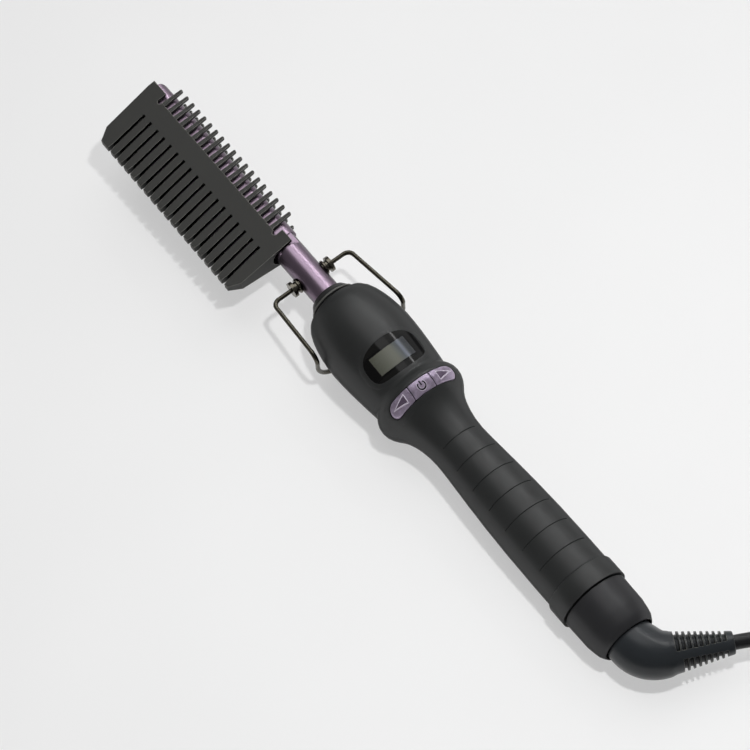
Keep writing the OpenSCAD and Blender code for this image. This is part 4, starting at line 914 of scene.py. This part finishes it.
def relief_cutters():
    """One closed C-shaped block for each slot of the strain relief."""
    verts, faces = [], []
    step = (RELIEF_LEN - 2 * COLLAR_RUN) / RELIEF_SLOTS
    side = relief_way.cross(Vector((0, 0, 1))).normalized()
    up = side.cross(relief_way)
    roll = math.radians(SLOT_ROLL)
    up, side = (math.cos(roll) * up + math.sin(roll) * side,
                math.cos(roll) * side - math.sin(roll) * up)
    # The row on the outside of the bend starts one slot later
    slots = [(i, half) for i in range(RELIEF_SLOTS) for half in (-1, 1) if half > 0 or i > 0]
    for i, half in slots:
        run = COLLAR_RUN + i * step + CUT_INSET
        share = (run - COLLAR_RUN) / (RELIEF_LEN - COLLAR_RUN)
        r = RELIEF_SLOT_R + (RELIEF_TIP_R - RELIEF_SLOT_R) * share
        low, high = r - CUT_DEPTH, r + CUT_OUT
        first = len(verts)
        start = math.asin(CUT_RIB / low)
        for k in range(CUT_STEPS + 1):
            a = start + (math.pi - 2 * start) * k / CUT_STEPS
            way = math.cos(a) * up - half * math.sin(a) * side
            for radius, ahead in ((low, 0), (high, 0), (high, CUT_WIDTH), (low, CUT_WIDTH)):
                verts.append(TOOL @ (bend_end + (run + ahead) * relief_way + radius * way))
        for k in range(CUT_STEPS):
            here, there = first + 4 * k, first + 4 * k + 4
            for c in range(4):
                d = (c + 1) % 4
                faces.append([here + c, here + d, there + d, there + c])
        last = first + 4 * CUT_STEPS
        faces += [list(range(first + 3, first - 1, -1)), list(range(last, last + 4))]
    return verts, faces


def cut(piece, cutter):
    """Takes the cutter's space out of the piece and removes the cutter."""
    step = piece.modifiers.new("cut", "BOOLEAN")
    step.operation, step.object, step.solver = "DIFFERENCE", cutter, "EXACT"
    step.use_self = True
    graph = bpy.context.evaluated_depsgraph_get()
    done = bpy.data.meshes.new_from_object(piece.evaluated_get(graph))
    piece.modifiers.clear()
    piece.data = done
    bpy.data.objects.remove(cutter)


relief = mesh_object("strain_relief_rubber", *skin(relief_rings(), 72), relief_black)
cut(relief, mesh_object("relief_cutter", *relief_cutters(), relief_black))
relief.modifiers.new("smooth", "NODES").node_group = SMOOTH
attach(relief, "cord")
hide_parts("strain_relief")


# ---- light ----
def lamp(name, at, target, size, power):
    """A square white light `at` a place in metres, facing the target."""
    data = bpy.data.lights.new(name, "AREA")
    data.shape = "SQUARE"
    data.size = size
    data.energy = power
    light = bpy.data.objects.new(name, data)
    bpy.context.scene.collection.objects.link(light)
    light.location = at
    light.rotation_euler = (Vector(target) - Vector(at)).to_track_quat("-Z", "Y").to_euler()
    return light


CENTRE = TOOL @ Vector((AIM_X, 0, 0))


def softbox(name, lean, reach, length, width, power):
    """A long soft light along the tool, mirrored at the camera by sides that face half its lean.

    `lean` is in degrees, `reach` in millimetres, the light's own sizes in metres."""
    a = math.radians(lean)
    ahead = math.cos(VIEW_LEAN) * (math.cos(a) * up_side + math.sin(a) * across)
    ahead = TOOL_TURN @ (ahead - Vector((math.sin(VIEW_LEAN), 0, 0)))
    light = lamp(name, CENTRE + reach * MM * ahead, CENTRE, length, power)
    light.data.shape = "RECTANGLE"
    light.data.size_y = width
    level = TOOL_TURN @ Vector((1, 0, 0))
    level = (level - level.dot(ahead) * ahead).normalized()
    turn = Matrix((level, ahead.cross(level), ahead)).transposed().to_4x4()
    light.matrix_world = Matrix.Translation(light.location) @ turn
    return light


strip = softbox("strip", lean=54, reach=1600, length=1.6, width=0.09, power=5.0)
strip.data.use_shadow = False
softbox("bank", lean=50, reach=2500, length=2.4, width=4.2, power=23.0)
softbox("crown", lean=22, reach=2200, length=2.2, width=1.0, power=5.0)
# A small lamp above gives the shadow its sharp edge
LAMP_RIGHT, LAMP_DOWN, LAMP_H = 0.179, 0.121, 0.7
overhead = CENTRE + TOOL_TURN @ (LAMP_RIGHT * right - LAMP_DOWN * upward)
overhead.z = LAMP_H
small = lamp("overhead", overhead, (overhead.x, overhead.y, 0), size=0.04, power=2.7)
small.visible_glossy = False

world = bpy.data.worlds.new("studio")
bpy.context.scene.world = world
world.use_nodes = True
sky = world.node_tree.nodes["Background"]
sky.inputs["Color"].default_value = (1, 1, 1, 1)
sky.inputs["Strength"].default_value = 0.12

# ---- floor ----
PAPER_SIZE, PAPER_GLOW = 6, 0.5
PAPER_DARK, PAPER_LIGHT = (241, 241, 241), (244, 244, 244)
bpy.ops.mesh.primitive_plane_add(size=PAPER_SIZE)
floor = bpy.context.object
floor.name = "floor"
paper = Nodes("floor_paper")
cloud = paper.band(paper.noise(160.0, 2.0), 0.3, 0.7)
tint = paper.mix(cloud, srgb(PAPER_DARK), srgb(PAPER_LIGHT))
paper.link(tint, "Base Color")
paper.shader.inputs["Roughness"].default_value = 0.9
paper.shader.inputs["Specular IOR Level"].default_value = 0.0
# Where the camera or a reflection sees the paper, part of it is a backdrop of its own pale colour
rays = paper.add("ShaderNodeLightPath").outputs
seen = paper.math("MAXIMUM", rays["Is Camera Ray"], rays["Is Glossy Ray"])
seen = paper.math("MAXIMUM", seen, rays["Is Transmission Ray"])
glow = paper.add("ShaderNodeEmission", {"Color": tint, "Strength": 1.0}).outputs[0]
blend = paper.add("ShaderNodeMixShader", {
    0: paper.math("MULTIPLY", seen, PAPER_GLOW), 1: paper.shader.outputs[0], 2: glow,
})
surface = paper.tree.nodes["Material Output"].inputs["Surface"]
paper.tree.links.new(blend.outputs[0], surface)
floor.data.materials.append(paper.material)

bpy.context.scene.view_settings.view_transform = "Standard"
